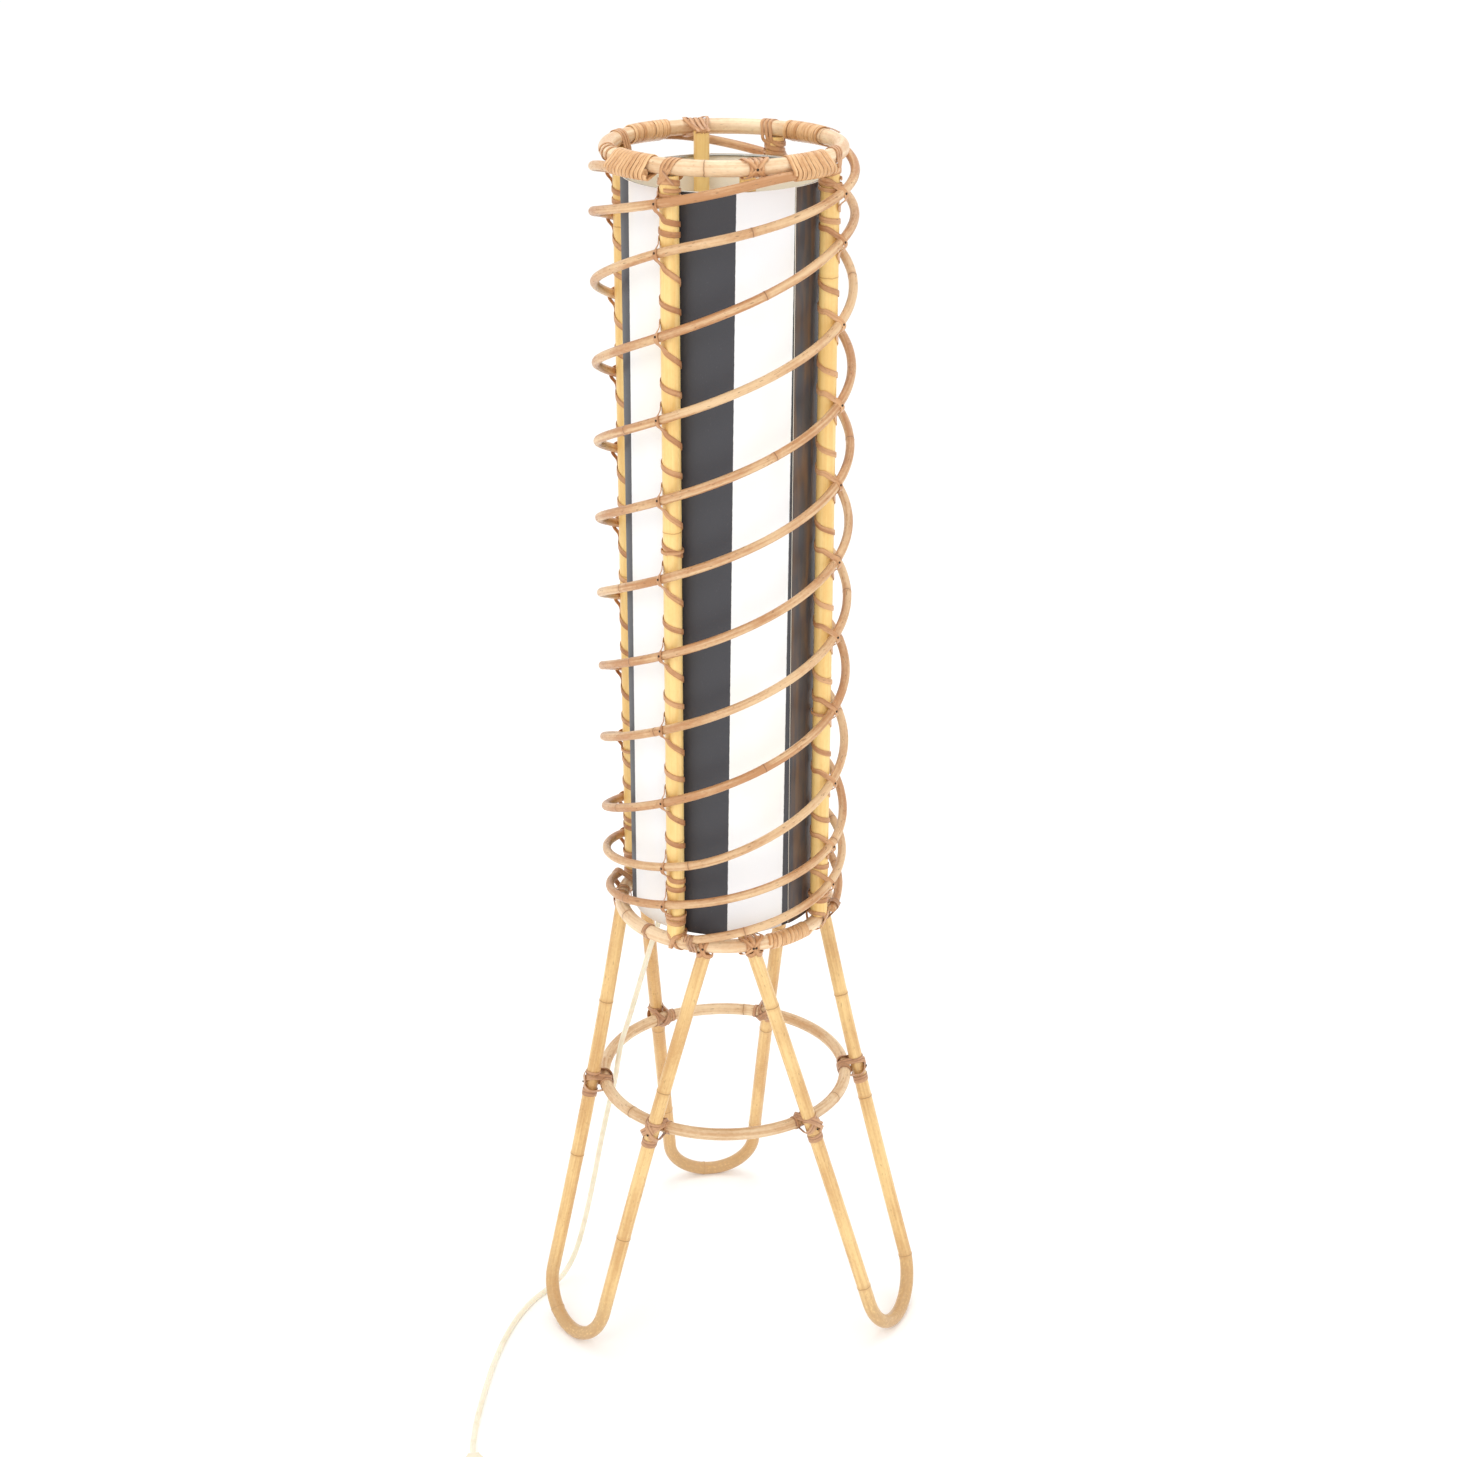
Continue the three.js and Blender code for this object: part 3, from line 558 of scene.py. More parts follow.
@dataclass(frozen=True)
class CaneFinish:
    """The finish of a cane or a split strip.

    Attributes:
        name: the material's name.
        pale: its palest colour.
        deep: its deepest colour.
        fleck: the colour of its flecks.
        ring: the colour of its growth rings.
        contrast: how much the tone changes.
        flecks: how strongly the flecks show.
        ribs: how strongly fine ribs stand across the cane.
        roughness: the middle of its roughness.
        coat: the weight of its varnish.
        relief: the depth of its fibres.
        dust: how dull the cane is close to the floor.
    """

    name: str
    pale: str
    deep: str
    fleck: str
    ring: str
    contrast: float
    flecks: float
    ribs: float
    roughness: float
    coat: float
    relief: float = 0.0002
    dust: float = 0.0

    def make(self, grain: Tree) -> Material:
        """Builds the material on the shared cane grain.

        Args:
            grain: the shader group.

        Returns:
            The material.
        """
        keys = ("pale", "deep", "fleck", "ring", "contrast", "flecks", "ribs", "roughness", "dust")
        given = {key.capitalize(): getattr(self, key) for key in keys}
        shine = {"Coat_Weight": self.coat, "Coat_Roughness": 0.28, "Specular_IOR_Level": 0.4}
        return on_grain(self.name, grain, given, self.relief, **shine)


@dataclass(frozen=True)
class PlainFinish:
    """The finish of a moulded or metal piece.

    Attributes:
        name: the material's name.
        base: its colour.
        worn: its colour where it is dusty or rubbed.
        roughness: the middle of its roughness.
        metallic: 1 on metal.
        wear: how much of the worn colour shows.
        coat: the weight of its clear layer.
        relief: the depth of its grain.
        subsurface: how far light spreads inside it.
    """

    name: str
    base: str
    worn: str
    roughness: float
    metallic: float
    wear: float
    coat: float = 0.0
    relief: float = 0.00003
    subsurface: float = 0.0

    def make(self, grain: Tree) -> Material:
        """Builds the material on the shared fine unevenness.

        Args:
            grain: the shader group.

        Returns:
            The material.
        """
        given = {key.capitalize(): getattr(self, key) for key in ("base", "worn", "wear", "roughness")}
        depth = {"Subsurface_Weight": self.subsurface, "Subsurface_Scale": 0.002}
        return on_grain(self.name, grain, given, self.relief, Metallic=self.metallic, Coat_Weight=self.coat, **depth)


@dataclass(frozen=True)
class SheetFinish:
    """The finish of the shade's sheet: broad dark and white stripes outside, cream inside.

    Attributes:
        dark: the dark stripes.
        specks: the pale specks in them.
        brown: a painted reflection on the first dark stripe, a brown sheen in blotches.
        pale: the white stripes.
        warm: the white stripes where they have yellowed.
        low_shade: painted shade on the white stripes by the lower edge.
        inside: the inner face and the cut edges.
        deeper: the inner face's darker clouds.
    """

    dark: str = "424247"
    specks: str = "8a8588"
    brown: str = "76583e"
    pale: str = "f9fbfe"
    warm: str = "fcfaf4"
    low_shade: str = "cdbfa4"
    inside: str = "fff8e8"
    deeper: str = "f7ebcd"

    def make(self) -> Material:
        """Builds the material, which reads the sheet's own stripe count, height and face.

        Returns:
            The material.
        """
        material, nodes, shader = new_material("striped_sheet")
        times, fused, ramp, blend = nodes.times, nodes.fused, nodes.ramp, nodes.blend
        sheet, place = nodes.own("sheet"), nodes.place()
        count, height, face = nodes.split(sheet)
        cloud = nodes.noise(place, (9, 9, 5), 3.0)
        fibre = nodes.noise(place, (900, 900, 300), 2.0)
        ripple = nodes.noise(place, (26, 26, 9), 2.0)
        ragged = fused(nodes.noise(sheet, (0, 160, 0), 3.0), 0.012, -0.006)
        half = nodes.math("FRACT", times(nodes.math("ADD", count, ragged), 0.5))
        white = times(ramp(half, 0.4985, 0.5015), ramp(half, 0.9985, 1.0, 1.0, 0.0))
        white = nodes.math("MAXIMUM", white, ramp(half, 0.0, 0.0015, 1.0, 0.0))
        pale = blend(ramp(cloud, 0.4, 0.7), tint(self.pale), tint(self.warm))
        # The first dark stripe gets blotches of brown painted reflection, and a lower roughness.
        first = nodes.math("LESS_THAN", count, 1.0)
        painted_reflection = times(first, ramp(nodes.noise(place, (120, 120, 14), 4.0), 0.35, 0.7))
        dark = blend(times(painted_reflection, 0.75), tint(self.dark), tint(self.brown))
        dark = blend(times(ramp(fibre, 0.62, 0.8), 0.1), dark, tint(self.specks))
        inside = blend(ramp(ripple, 0.3, 0.8, 0.0, 0.25), tint(self.inside), tint(self.deeper))
        colour = blend(face, blend(white, dark, pale), inside)
        # The white stripes darken towards the lower edge in a grey-beige painted shade.
        painted_low_shade = times(ramp(height, 0.0, 0.03, 1.0, 0.0), 0.25)
        colour = blend(times(painted_low_shade, white), colour, tint(self.low_shade))
        gloss = fused(white, 0.15, fused(first, -0.12, 0.5))
        gloss = fused(nodes.minus(fibre, 0.5), 0.2, gloss)
        nodes.feed_all(shader, Base_Color=colour, Roughness=gloss, Specular_IOR_Level=0.45)
        roughen(nodes, shader, fused(ripple, 3.0, times(fibre, 0.25)), 0.0004, 0.4)
        return material


CANE_FINISHES = {
    "hoop": CaneFinish("hoop_cane", "ffe8c3", "dcb285", "946a44", "8d6440", 0.7, 0.35, 0.25, 0.42, 0.25),
    "stretcher": CaneFinish("stretcher_cane", "eed3ac", "c99d6f", "86603c", "8a6440", 0.8, 0.45, 0.3, 0.45, 0.2),
    "leg": CaneFinish("leg_cane", "f8d594", "d3a468", "7c5226", "a0743f", 0.6, 0.3, 0.9, 0.38, 0.35, dust=0.9),
    "pole": CaneFinish("pole_cane", "ffdf96", "efc274", "c08c48", "bd8a4a", 0.5, 0.08, 0.0, 0.4, 0.3),
    "rod": CaneFinish("rod_cane", "e8c598", "c08a5c", "7a5334", "8a6040", 0.85, 0.55, 0.15, 0.46, 0.2),
    "strip": CaneFinish("cane_strip", "dcaa79", "b27a4d", "7c4f2c", "7c4f2c", 0.85, 0.4, 0.0, 0.4, 0.3),
    "wrap": CaneFinish("wrap_strip", "f0c490", "c48c58", "85572f", "85572f", 0.9, 0.35, 0.0, 0.38, 0.3),
    "tie": CaneFinish("tie_strip", "d0a076", "98694a", "583622", "583622", 0.9, 0.4, 0.0, 0.42, 0.3),
}
PLAIN_FINISHES = {
    "steel": PlainFinish("zinc_steel", "b4b4b0", "8d8c86", 0.34, 1.0, 0.5),
    "brass": PlainFinish("dull_brass", "c9a25a", "8c6b38", 0.32, 1.0, 0.45),
    "nail": PlainFinish("nail_head", "4b4038", "6b5340", 0.45, 1.0, 0.5),
    "ivory": PlainFinish("ivory_plastic", "efe6cf", "d8caa8", 0.34, 0.0, 0.4, 0.3, 0.00003, 0.08),
    "opal": PlainFinish("opal_glass", "fbf8ef", "efe9da", 0.2, 0.0, 0.25, 0.6, 0.00001, 0.3),
    "sheath": PlainFinish("cord_sheath", "f4edd6", "dccfae", 0.42, 0.0, 0.45, 0.1, 0.00006, 0.1),
    "brown": PlainFinish("brown_plastic", "5b3f2a", "7a5a40", 0.3, 0.0, 0.3, 0.3),
    "pin": PlainFinish("pin_nickel", "c8c6be", "a09d92", 0.28, 1.0, 0.3),
    "sleeve": PlainFinish("pin_sleeve", "e9e2cf", "d5c8a9", 0.5, 0.0, 0.3),
}


# ---- Geometry Nodes ------------------------------------------------------------------------------------


def named(nodes: Nodes, name: str, kind: str = "FLOAT") -> Socket:
    """Returns a chain's own attribute in a geometry tree."""
    return nodes.add("GeometryNodeInputNamedAttribute", {"Name": name}, data_type=kind).outputs["Attribute"]


def store(nodes: Nodes, shape: object, name: str, value: object, kind: str = "FLOAT_VECTOR") -> Socket:
    """Keeps a value on each point of a shape under a name, and returns the shape."""
    inputs = {"Geometry": shape, "Name": name, "Value": value}
    return nodes.add("GeometryNodeStoreNamedAttribute", inputs, data_type=kind, domain="POINT").outputs[0]


def close_tree(nodes: Nodes, shape: object, material: object, out: bpy.types.Node) -> Tree:
    """Ends a geometry tree: smooth except across sharp edges, as real geometry, with its material.

    Args:
        nodes: the tree's nodes.
        shape: what it has built.
        material: the material that it was given.
        out: its output node.

    Returns:
        The tree.
    """
    smooth = nodes.add("GeometryNodeSetShadeSmooth", {"Geometry": shape}, domain="FACE").outputs[0]
    bend = nodes.add("GeometryNodeInputMeshEdgeAngle").outputs["Unsigned Angle"]
    sharp = nodes.add("FunctionNodeCompare", {0: bend, 1: SHARP_BEND}, data_type="FLOAT", operation="GREATER_THAN")
    inputs = {"Geometry": smooth, "Selection": sharp.outputs[0], "Shade Smooth": False}
    crisp = nodes.add("GeometryNodeSetShadeSmooth", inputs, domain="EDGE").outputs[0]
    real = nodes.add("GeometryNodeRealizeInstances", {"Geometry": crisp}).outputs[0]
    dressed = nodes.add("GeometryNodeSetMaterial", {"Geometry": real, "Material": material}).outputs[0]
    nodes.feed(out.inputs[0], dressed)
    return nodes.tree


def swept(nodes: Nodes, chain: object, profile: object, scale: object) -> Socket:
    """Runs a section along every chain and keeps its straightened place as the attribute "cane".

    Args:
        nodes: the geometry tree's nodes.
        chain: the chains, as edges.
        profile: the section's outline.
        scale: the section's scale at each place.

    Returns:
        The swept shape.
    """
    curve = nodes.add("GeometryNodeMeshToCurve", {"Mesh": chain}).outputs[0]
    inputs = {"Curve": curve, "Normal": named(nodes, "side", "FLOAT_VECTOR")}
    curve = nodes.add("GeometryNodeSetCurveNormal", inputs, mode="FREE").outputs[0]
    run = nodes.add("GeometryNodeSplineParameter").outputs["Length"]
    curve = store(nodes, curve, "run", run, "FLOAT")
    profile = store(nodes, profile, "spot", nodes.add("GeometryNodeInputPosition").outputs[0])
    inputs = {"Curve": curve, "Profile Curve": profile, "Scale": scale, "Fill Caps": True}
    shape = nodes.add("GeometryNodeCurveToMesh", inputs).outputs[0]
    spot = nodes.vector("MULTIPLY", named(nodes, "spot", "FLOAT_VECTOR"), (1, 1, 0))
    girth = nodes.add("ShaderNodeVectorMath", {0: spot, "Scale": named(nodes, "girth")}, operation="SCALE")
    place = nodes.vector("ADD", girth.outputs[0], nodes.join(None, None, named(nodes, "run")))
    shape = store(nodes, shape, "cane", place)
    for spare in ("spot", "run", "side"):
        shape = nodes.add("GeometryNodeRemoveAttribute", {"Geometry": shape, "Name": spare}).outputs[0]
    return shape


def cane_tree() -> Tree:
    """Builds the tree that grows a round cane, with swollen rings and slight unevenness, along chains.

    Returns:
        The geometry tree.
    """
    inputs = {
        "Chains": GEOMETRY,
        "Sides": 20,
        "Ring Swell": 0.03,
        "Ring Width": 0.0016,
        "Unevenness": 0.03,
        "Seed": 1,
        "Material": MATERIAL,
    }
    nodes, given, out = new_group("cane_along_chain", "GeometryNodeTree", inputs, {"Cane": GEOMETRY})
    profile = nodes.add("GeometryNodeCurvePrimitiveCircle", {"Resolution": given["Sides"], "Radius": 1.0}).outputs[0]
    off = nodes.math("DIVIDE", named(nodes, "joint"), given["Ring Width"])
    swell = nodes.math("EXPONENT", nodes.times(nodes.times(off, off), -1.0))
    position = nodes.add("GeometryNodeInputPosition").outputs[0]
    shifted = nodes.vector("ADD", position, nodes.join(given["Seed"]))
    lumps = nodes.minus(nodes.noise(shifted, (22, 22, 22), 2.0), 0.5)
    scale = nodes.fused(lumps, given["Unevenness"], nodes.fused(swell, given["Ring Swell"], 1.0))
    shape = swept(nodes, given["Chains"], profile, nodes.times(scale, named(nodes, "girth")))
    return close_tree(nodes, shape, given["Material"], out)


def strip_tree() -> Tree:
    """Builds the tree that lays a flat split strip, crowned and with rounded edges, along chains.

    Returns:
        The geometry tree.
    """
    inputs = {"Chains": GEOMETRY, "Width": 0.004, "Thickness": 0.0009, "Flatness": 0.55, "Material": MATERIAL}
    nodes, given, out = new_group("strip_along_chain", "GeometryNodeTree", inputs, {"Strip": GEOMETRY})
    circle = nodes.add("GeometryNodeCurvePrimitiveCircle", {"Resolution": 12, "Radius": 1.0}).outputs[0]
    up, across, _ = nodes.split(nodes.add("GeometryNodeInputPosition").outputs[0])

    def squared(value: object, power: object, size: object) -> Socket:
        """Returns a circle's coordinate pushed out towards the corners of a box of that size."""
        pushed = nodes.times(nodes.math("SIGN", value), nodes.math("POWER", nodes.math("ABSOLUTE", value), power))
        return nodes.times(pushed, nodes.times(size, 0.5))

    flat = nodes.join(squared(up, CROWN, given["Thickness"]), squared(across, given["Flatness"], given["Width"]))
    profile = nodes.add("GeometryNodeSetPosition", {"Geometry": circle, "Position": flat}).outputs[0]
    return close_tree(nodes, swept(nodes, given["Chains"], profile, 1.0), given["Material"], out)


def nail_tree() -> Tree:
    """Builds the tree that drives a small domed nail head into each point, square to its side direction.

    Returns:
        The geometry tree.
    """
    inputs = {"Points": GEOMETRY, "Head Radius": 0.0014, "Dome": 0.4, "Material": MATERIAL}
    nodes, given, out = new_group("nails_on_points", "GeometryNodeTree", inputs, {"Nails": GEOMETRY})
    sphere = {"Segments": 12, "Rings": 6, "Radius": given["Head Radius"]}
    head = nodes.add("GeometryNodeMeshUVSphere", sphere).outputs[0]
    squash = nodes.join(1.0, 1.0, given["Dome"])
    head = nodes.add("GeometryNodeTransform", {"Geometry": head, "Scale": squash}).outputs[0]
    turn = nodes.add("FunctionNodeAlignRotationToVector", {"Vector": named(nodes, "side", "FLOAT_VECTOR")}, axis="Z")
    inputs = {"Points": given["Points"], "Instance": head, "Rotation": turn.outputs[0]}
    nails = nodes.add("GeometryNodeInstanceOnPoints", inputs).outputs[0]
    return close_tree(nodes, nails, given["Material"], out)


# ---- The bench: how pieces are made and fixed -----------------------------------------------------------


class Bench:
    """Makes meshes, dresses them and fixes them to the frame's bodies."""

    def __init__(self, frame: dict) -> None:
        """Takes the lamp's axis from the frame and builds the finishes.
        """
        self.frame = frame
        low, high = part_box("top_ring")
        self.axis = Vector(((low.x + high.x) / 2, (low.y + high.y) / 2, 0.0))
        cane, moulded = cane_grain_group(), moulded_group()
        self.finish = {key: look.make(cane) for key, look in CANE_FINISHES.items()}
        self.finish |= {key: look.make(moulded) for key, look in PLAIN_FINISHES.items()}
        self.finish["sheet"] = SheetFinish().make()
        self.cane = cane_tree()
        self.strip = strip_tree()
        self.nail = nail_tree()
        self.count = 0

    def on(self, radius: float, azimuth: float, z: float) -> Vector:
        """Returns the place at a radius from the lamp's axis, an azimuth and a height."""
        return self.axis + outward(azimuth) * radius + UP * z

    def from_axis(self, x: float, y: float, z: float) -> Vector:
        """Returns the place at level distances from the lamp's axis."""
        return self.axis + Vector((x, y, z))

    def fix(self, piece: Piece, slot: Slot, *nodes: str, body: Body = Body.LAMP) -> Piece:
        """Fixes a finished piece to its body and reports it.

        Args:
            piece: the piece, in place.
            slot: its finish in the record; not used.
            *nodes: the frame's nodes that it stands for.
            body: the body that it rides on.

        Returns:
            The piece.
        """
        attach(piece, body.value)
        if nodes:
            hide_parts(*nodes)
        self.count += 1
        faces = len(piece.data.polygons) if piece.type == "MESH" else 0
        LOG.info("%s: %d faces on %s", piece.name, faces, body.value)
        return piece

    def stand(self, name: str, mesh: bpy.types.Mesh, *looks: str) -> Piece:
        """Puts a mesh into the scene as an object at the origin, with its finishes.

        Args:
            name: the piece's name.
            mesh: its mesh.
            *looks: its finishes.

        Returns:
            The new object.
        """
        mesh.name = name
        piece = bpy.data.objects.new(name, mesh)
        for look in looks:
            mesh.materials.append(self.finish[look])
        bpy.context.scene.collection.objects.link(piece)
        return piece

    def grown(self, name: str, chains: Sequence[Chain], tree: Tree, look: str, **settings: float) -> Piece:
        """Runs a geometry tree on chains and keeps the result as a plain mesh.

        Args:
            name: the piece's name.
            chains: the lines that it follows.
            tree: the geometry tree.
            look: the finish.
            **settings: the tree's inputs, with _ for each space in their names.

        Returns:
            The new object.
        """
        points = [p for c in chains for p in c.points]
        edges, start = [], 0
        for chain in chains:
            size = len(chain.points)
            edges += [(start + i, start + i + 1) for i in range(size - 1)]
            edges += [(start + size - 1, start)] if chain.closed else []
            start += size
        line = bpy.data.meshes.new(name + "_chain")
        line.from_pydata([p[:] for p in points], edges, [])
        numbers = {
            "girth": [c.girth for c in chains for _ in c.points],
            "joint": [d for c in chains for d in c.ring_distance()],
            "tone": [c.tone for c in chains for _ in c.points],
        }
        for key, values in numbers.items():
            line.attributes.new(key, "FLOAT", "POINT").data.foreach_set("value", values)
        sides = [x for c in chains for s in c.sides for x in s]
        line.attributes.new("side", "FLOAT_VECTOR", "POINT").data.foreach_set("vector", sides)
        guide = bpy.data.objects.new(name + "_chain", line)
        bpy.context.scene.collection.objects.link(guide)
        modifier = guide.modifiers.new("grow", "NODES")
        modifier.node_group = tree
        values = {key.replace("_", " "): value for key, value in settings.items()}
        values["Material"] = self.finish[look]
        for item in tree.interface.items_tree:
            if item.in_out == "INPUT" and item.name in values:
                modifier[item.identifier] = values[item.name]
        mesh = baked(guide)
        bpy.data.objects.remove(guide)
        return self.stand(name, mesh)

    def canes(
        self, name: str, chains: Sequence[Chain], look: str, step: float = 0.004, **settings: float
    ) -> Piece:
        """Grows round canes along chains that it first spaces evenly."""
        return self.grown(name, [c.evened(step) for c in chains], self.cane, look, **settings)

    def strips(
        self, name: str, chains: Sequence[Chain], look: str, width: float, thick: float = 0.0009, flat: float = 0.55
    ) -> Piece:
        """Lays flat strips along chains that it first spaces evenly."""
        even = [c.evened(0.0016) for c in chains]
        return self.grown(name, even, self.strip, look, Width=width, Thickness=thick, Flatness=flat)

    def turned(self, name: str, profile: Outline, look: str, segments: int = 48, bevel: float = 0.0003) -> Piece:
        """Turns a closed outline about the lamp's axis.

        Args:
            name: the piece's name.
            profile: radius and height of each corner, going round the section.
            look: the finish.
            segments: how many steps the turn has.
            bevel: the width of the broken edges.

        Returns:
            The new object, with its axis on the lamp's.
        """
        shape = bmesh.new()
        rings = []
        for radius, z in profile:
            if radius < 1e-7:
                rings.append([shape.verts.new(self.axis + UP * z)] * segments)
            else:
                rings.append([shape.verts.new(self.on(radius, 360 * k / segments, z)) for k in range(segments)])
        for i, ring in enumerate(rings):
            after = rings[(i + 1) % len(rings)]
            for k in range(segments):
                corners = [ring[k], ring[(k + 1) % segments], after[(k + 1) % segments], after[k]]
                corners = [v for j, v in enumerate(corners) if v not in corners[:j]]
                if len(corners) > 2:
                    shape.faces.new(corners)
        bmesh.ops.recalc_face_normals(shape, faces=shape.faces)
        return self.finished(name, shape, look, bevel)

    def finished(self, name: str, shape: Shape, look: str, bevel: float) -> Piece:
        """Breaks a shape's sharp edges, shades it and puts it into the scene.

        Args:
            name: the piece's name.
            shape: the shape, which is then freed.
            look: the finish.
            bevel: the width of the broken edges, or 0.

        Returns:
            The new object.
        """
        mesh = bpy.data.meshes.new(name)
        shape.to_mesh(mesh)
        shape.free()
        piece = self.stand(name, mesh, look)
        if bevel:
            bevelled(piece, bevel, 3, 28)
        return self.settled(piece)

    def settled(self, piece: Piece) -> Piece:
        """Applies a piece's modifiers to its mesh and shades it smooth between its sharp edges.

        Args:
            piece: the piece.

        Returns:
            The same piece.
        """
        mesh = baked(piece)
        old = piece.data
        piece.data = mesh
        bpy.data.meshes.remove(old)
        mesh.name = piece.name
        for face in mesh.polygons:
            face.use_smooth = True
        mesh.set_sharp_from_angle(angle=math.radians(38))
        return piece

    def prism(
        self,
        name: str,
        outline: Outline,
        low: float,
        high: float,
        place: Matrix,
        look: str,
        bevel: float,
        cut: Sequence[Piece] = (),
    ) -> Piece:
        """Stands a flat outline up as a prism.

        Args:
            name: the piece's name.
            outline: the outline's corners.
            low: its lower height.
            high: its upper height.
            place: where the outline's own axes go.
            look: the finish.
            bevel: the width of the rounded edges.
            cut: objects taken out of it, which are then removed.

        Returns:
            The new object.
        """
        shape = bmesh.new()
        floor = shape.faces.new([shape.verts.new(place @ Vector((x, y, low))) for x, y in outline])
        lift = (place @ Vector((0, 0, high))) - (place @ Vector((0, 0, low)))
        risen = bmesh.ops.extrude_face_region(shape, geom=[floor])["geom"]
        bmesh.ops.translate(shape, vec=lift, verts=[v for v in risen if isinstance(v, bmesh.types.BMVert)])
        bmesh.ops.recalc_face_normals(shape, faces=shape.faces)
        mesh = bpy.data.meshes.new(name)
        shape.to_mesh(mesh)
        shape.free()
        piece = self.stand(name, mesh, look)
        for tool in cut:
            hole = piece.modifiers.new("cut", "BOOLEAN")
            hole.operation = "DIFFERENCE"
            hole.solver = "EXACT"
            hole.object = tool
        bevelled(piece, bevel, 4, 30)
        self.settled(piece)
        for tool in cut:
            bpy.data.objects.remove(tool)
        return piece


# ---- Studio --------------------------------------------------------------------------------------------


@dataclass
class Studio:
    """A pale floor, soft light and the camera.

    Attributes:
        eye: the camera's place.
        pitch: how far it looks down.
        yaw: how far it is turned.
        lens: its focal length in millimetres on a 36 mm wide sensor.
    """

    eye: tuple[float, float, float] = (0.0265, -2.3272, 1.6556)
    pitch: float = 23.415
    yaw: float = 0.736
    lens: float = 61.3

    def camera(self) -> None:
        """Sets up the camera."""
        data = bpy.data.cameras.new("camera")
        data.lens = self.lens
        data.sensor_width = 36.0
        camera = bpy.data.objects.new("camera", data)
        camera.location = self.eye
        camera.rotation_euler = (math.radians(90 - self.pitch), 0.0, math.radians(self.yaw))
        bpy.context.scene.collection.objects.link(camera)
        bpy.context.scene.camera = camera

    def light(self) -> None:
        """Sets up the sky and three soft lamps."""
        scene = bpy.context.scene
        scene.view_settings.view_transform = "Standard"
        world = bpy.data.worlds.new("studio")
        world.use_nodes = True
        sky = next(n for n in world.node_tree.nodes if n.type == "BACKGROUND")
        sky.inputs["Color"].default_value = (1.0, 1.0, 1.0, 1.0)
        sky.inputs["Strength"].default_value = 1.0
        scene.world = world
        lamps = [
            ("key", (-1.6, -3.0, 3.2), 2.0, 25.0, "ffffff"),
            ("fill", (2.6, -1.8, 1.8), 2.4, 8.0, "f4f7ff"),
            ("above", (0.1, 0.6, 3.4), 1.6, 15.0, "ffffff"),
        ]
        for name, place, size, power, colour in lamps:
            data = bpy.data.lights.new(name, "AREA")
            data.shape = "DISK"
            data.size = size
            data.energy = power
            data.color = tint(colour)[:3]
            lamp = bpy.data.objects.new(name, data)
            lamp.location = place
            aim = Vector((0.0, 0.0, 0.75)) - Vector(place)
            lamp.rotation_euler = aim.to_track_quat("-Z", "Y").to_euler()
            scene.collection.objects.link(lamp)

    def floor(self) -> None:
        """Lays the pale floor."""
        mesh = bpy.data.meshes.new("floor")
        reach, count = 40.0, 64
        mesh.from_pydata([(x, y, 0.0) for x, y in ring(reach, count)], [], [tuple(range(count))])
        floor = bpy.data.objects.new("floor", mesh)
        material, nodes, shader = new_material("floor_paint")
        place = nodes.add("ShaderNodeTexCoord").outputs["Object"]
        cloud = nodes.noise(place, (1.5, 1.5, 1.5), 3.0)
        nodes.feed(shader.inputs["Base Color"], nodes.blend(cloud, tint("f6f5f3"), tint("fbfaf8")))
        shader.inputs["Roughness"].default_value = 0.85
        shader.inputs["Specular IOR Level"].default_value = 0.2
        shader.inputs["Emission Color"].default_value = tint("ffffff")
        shader.inputs["Emission Strength"].default_value = 0.1
        mesh.materials.append(material)
        bpy.context.scene.collection.objects.link(floor)


# ---- Mains lead ----------------------------------------------------------------------------------------


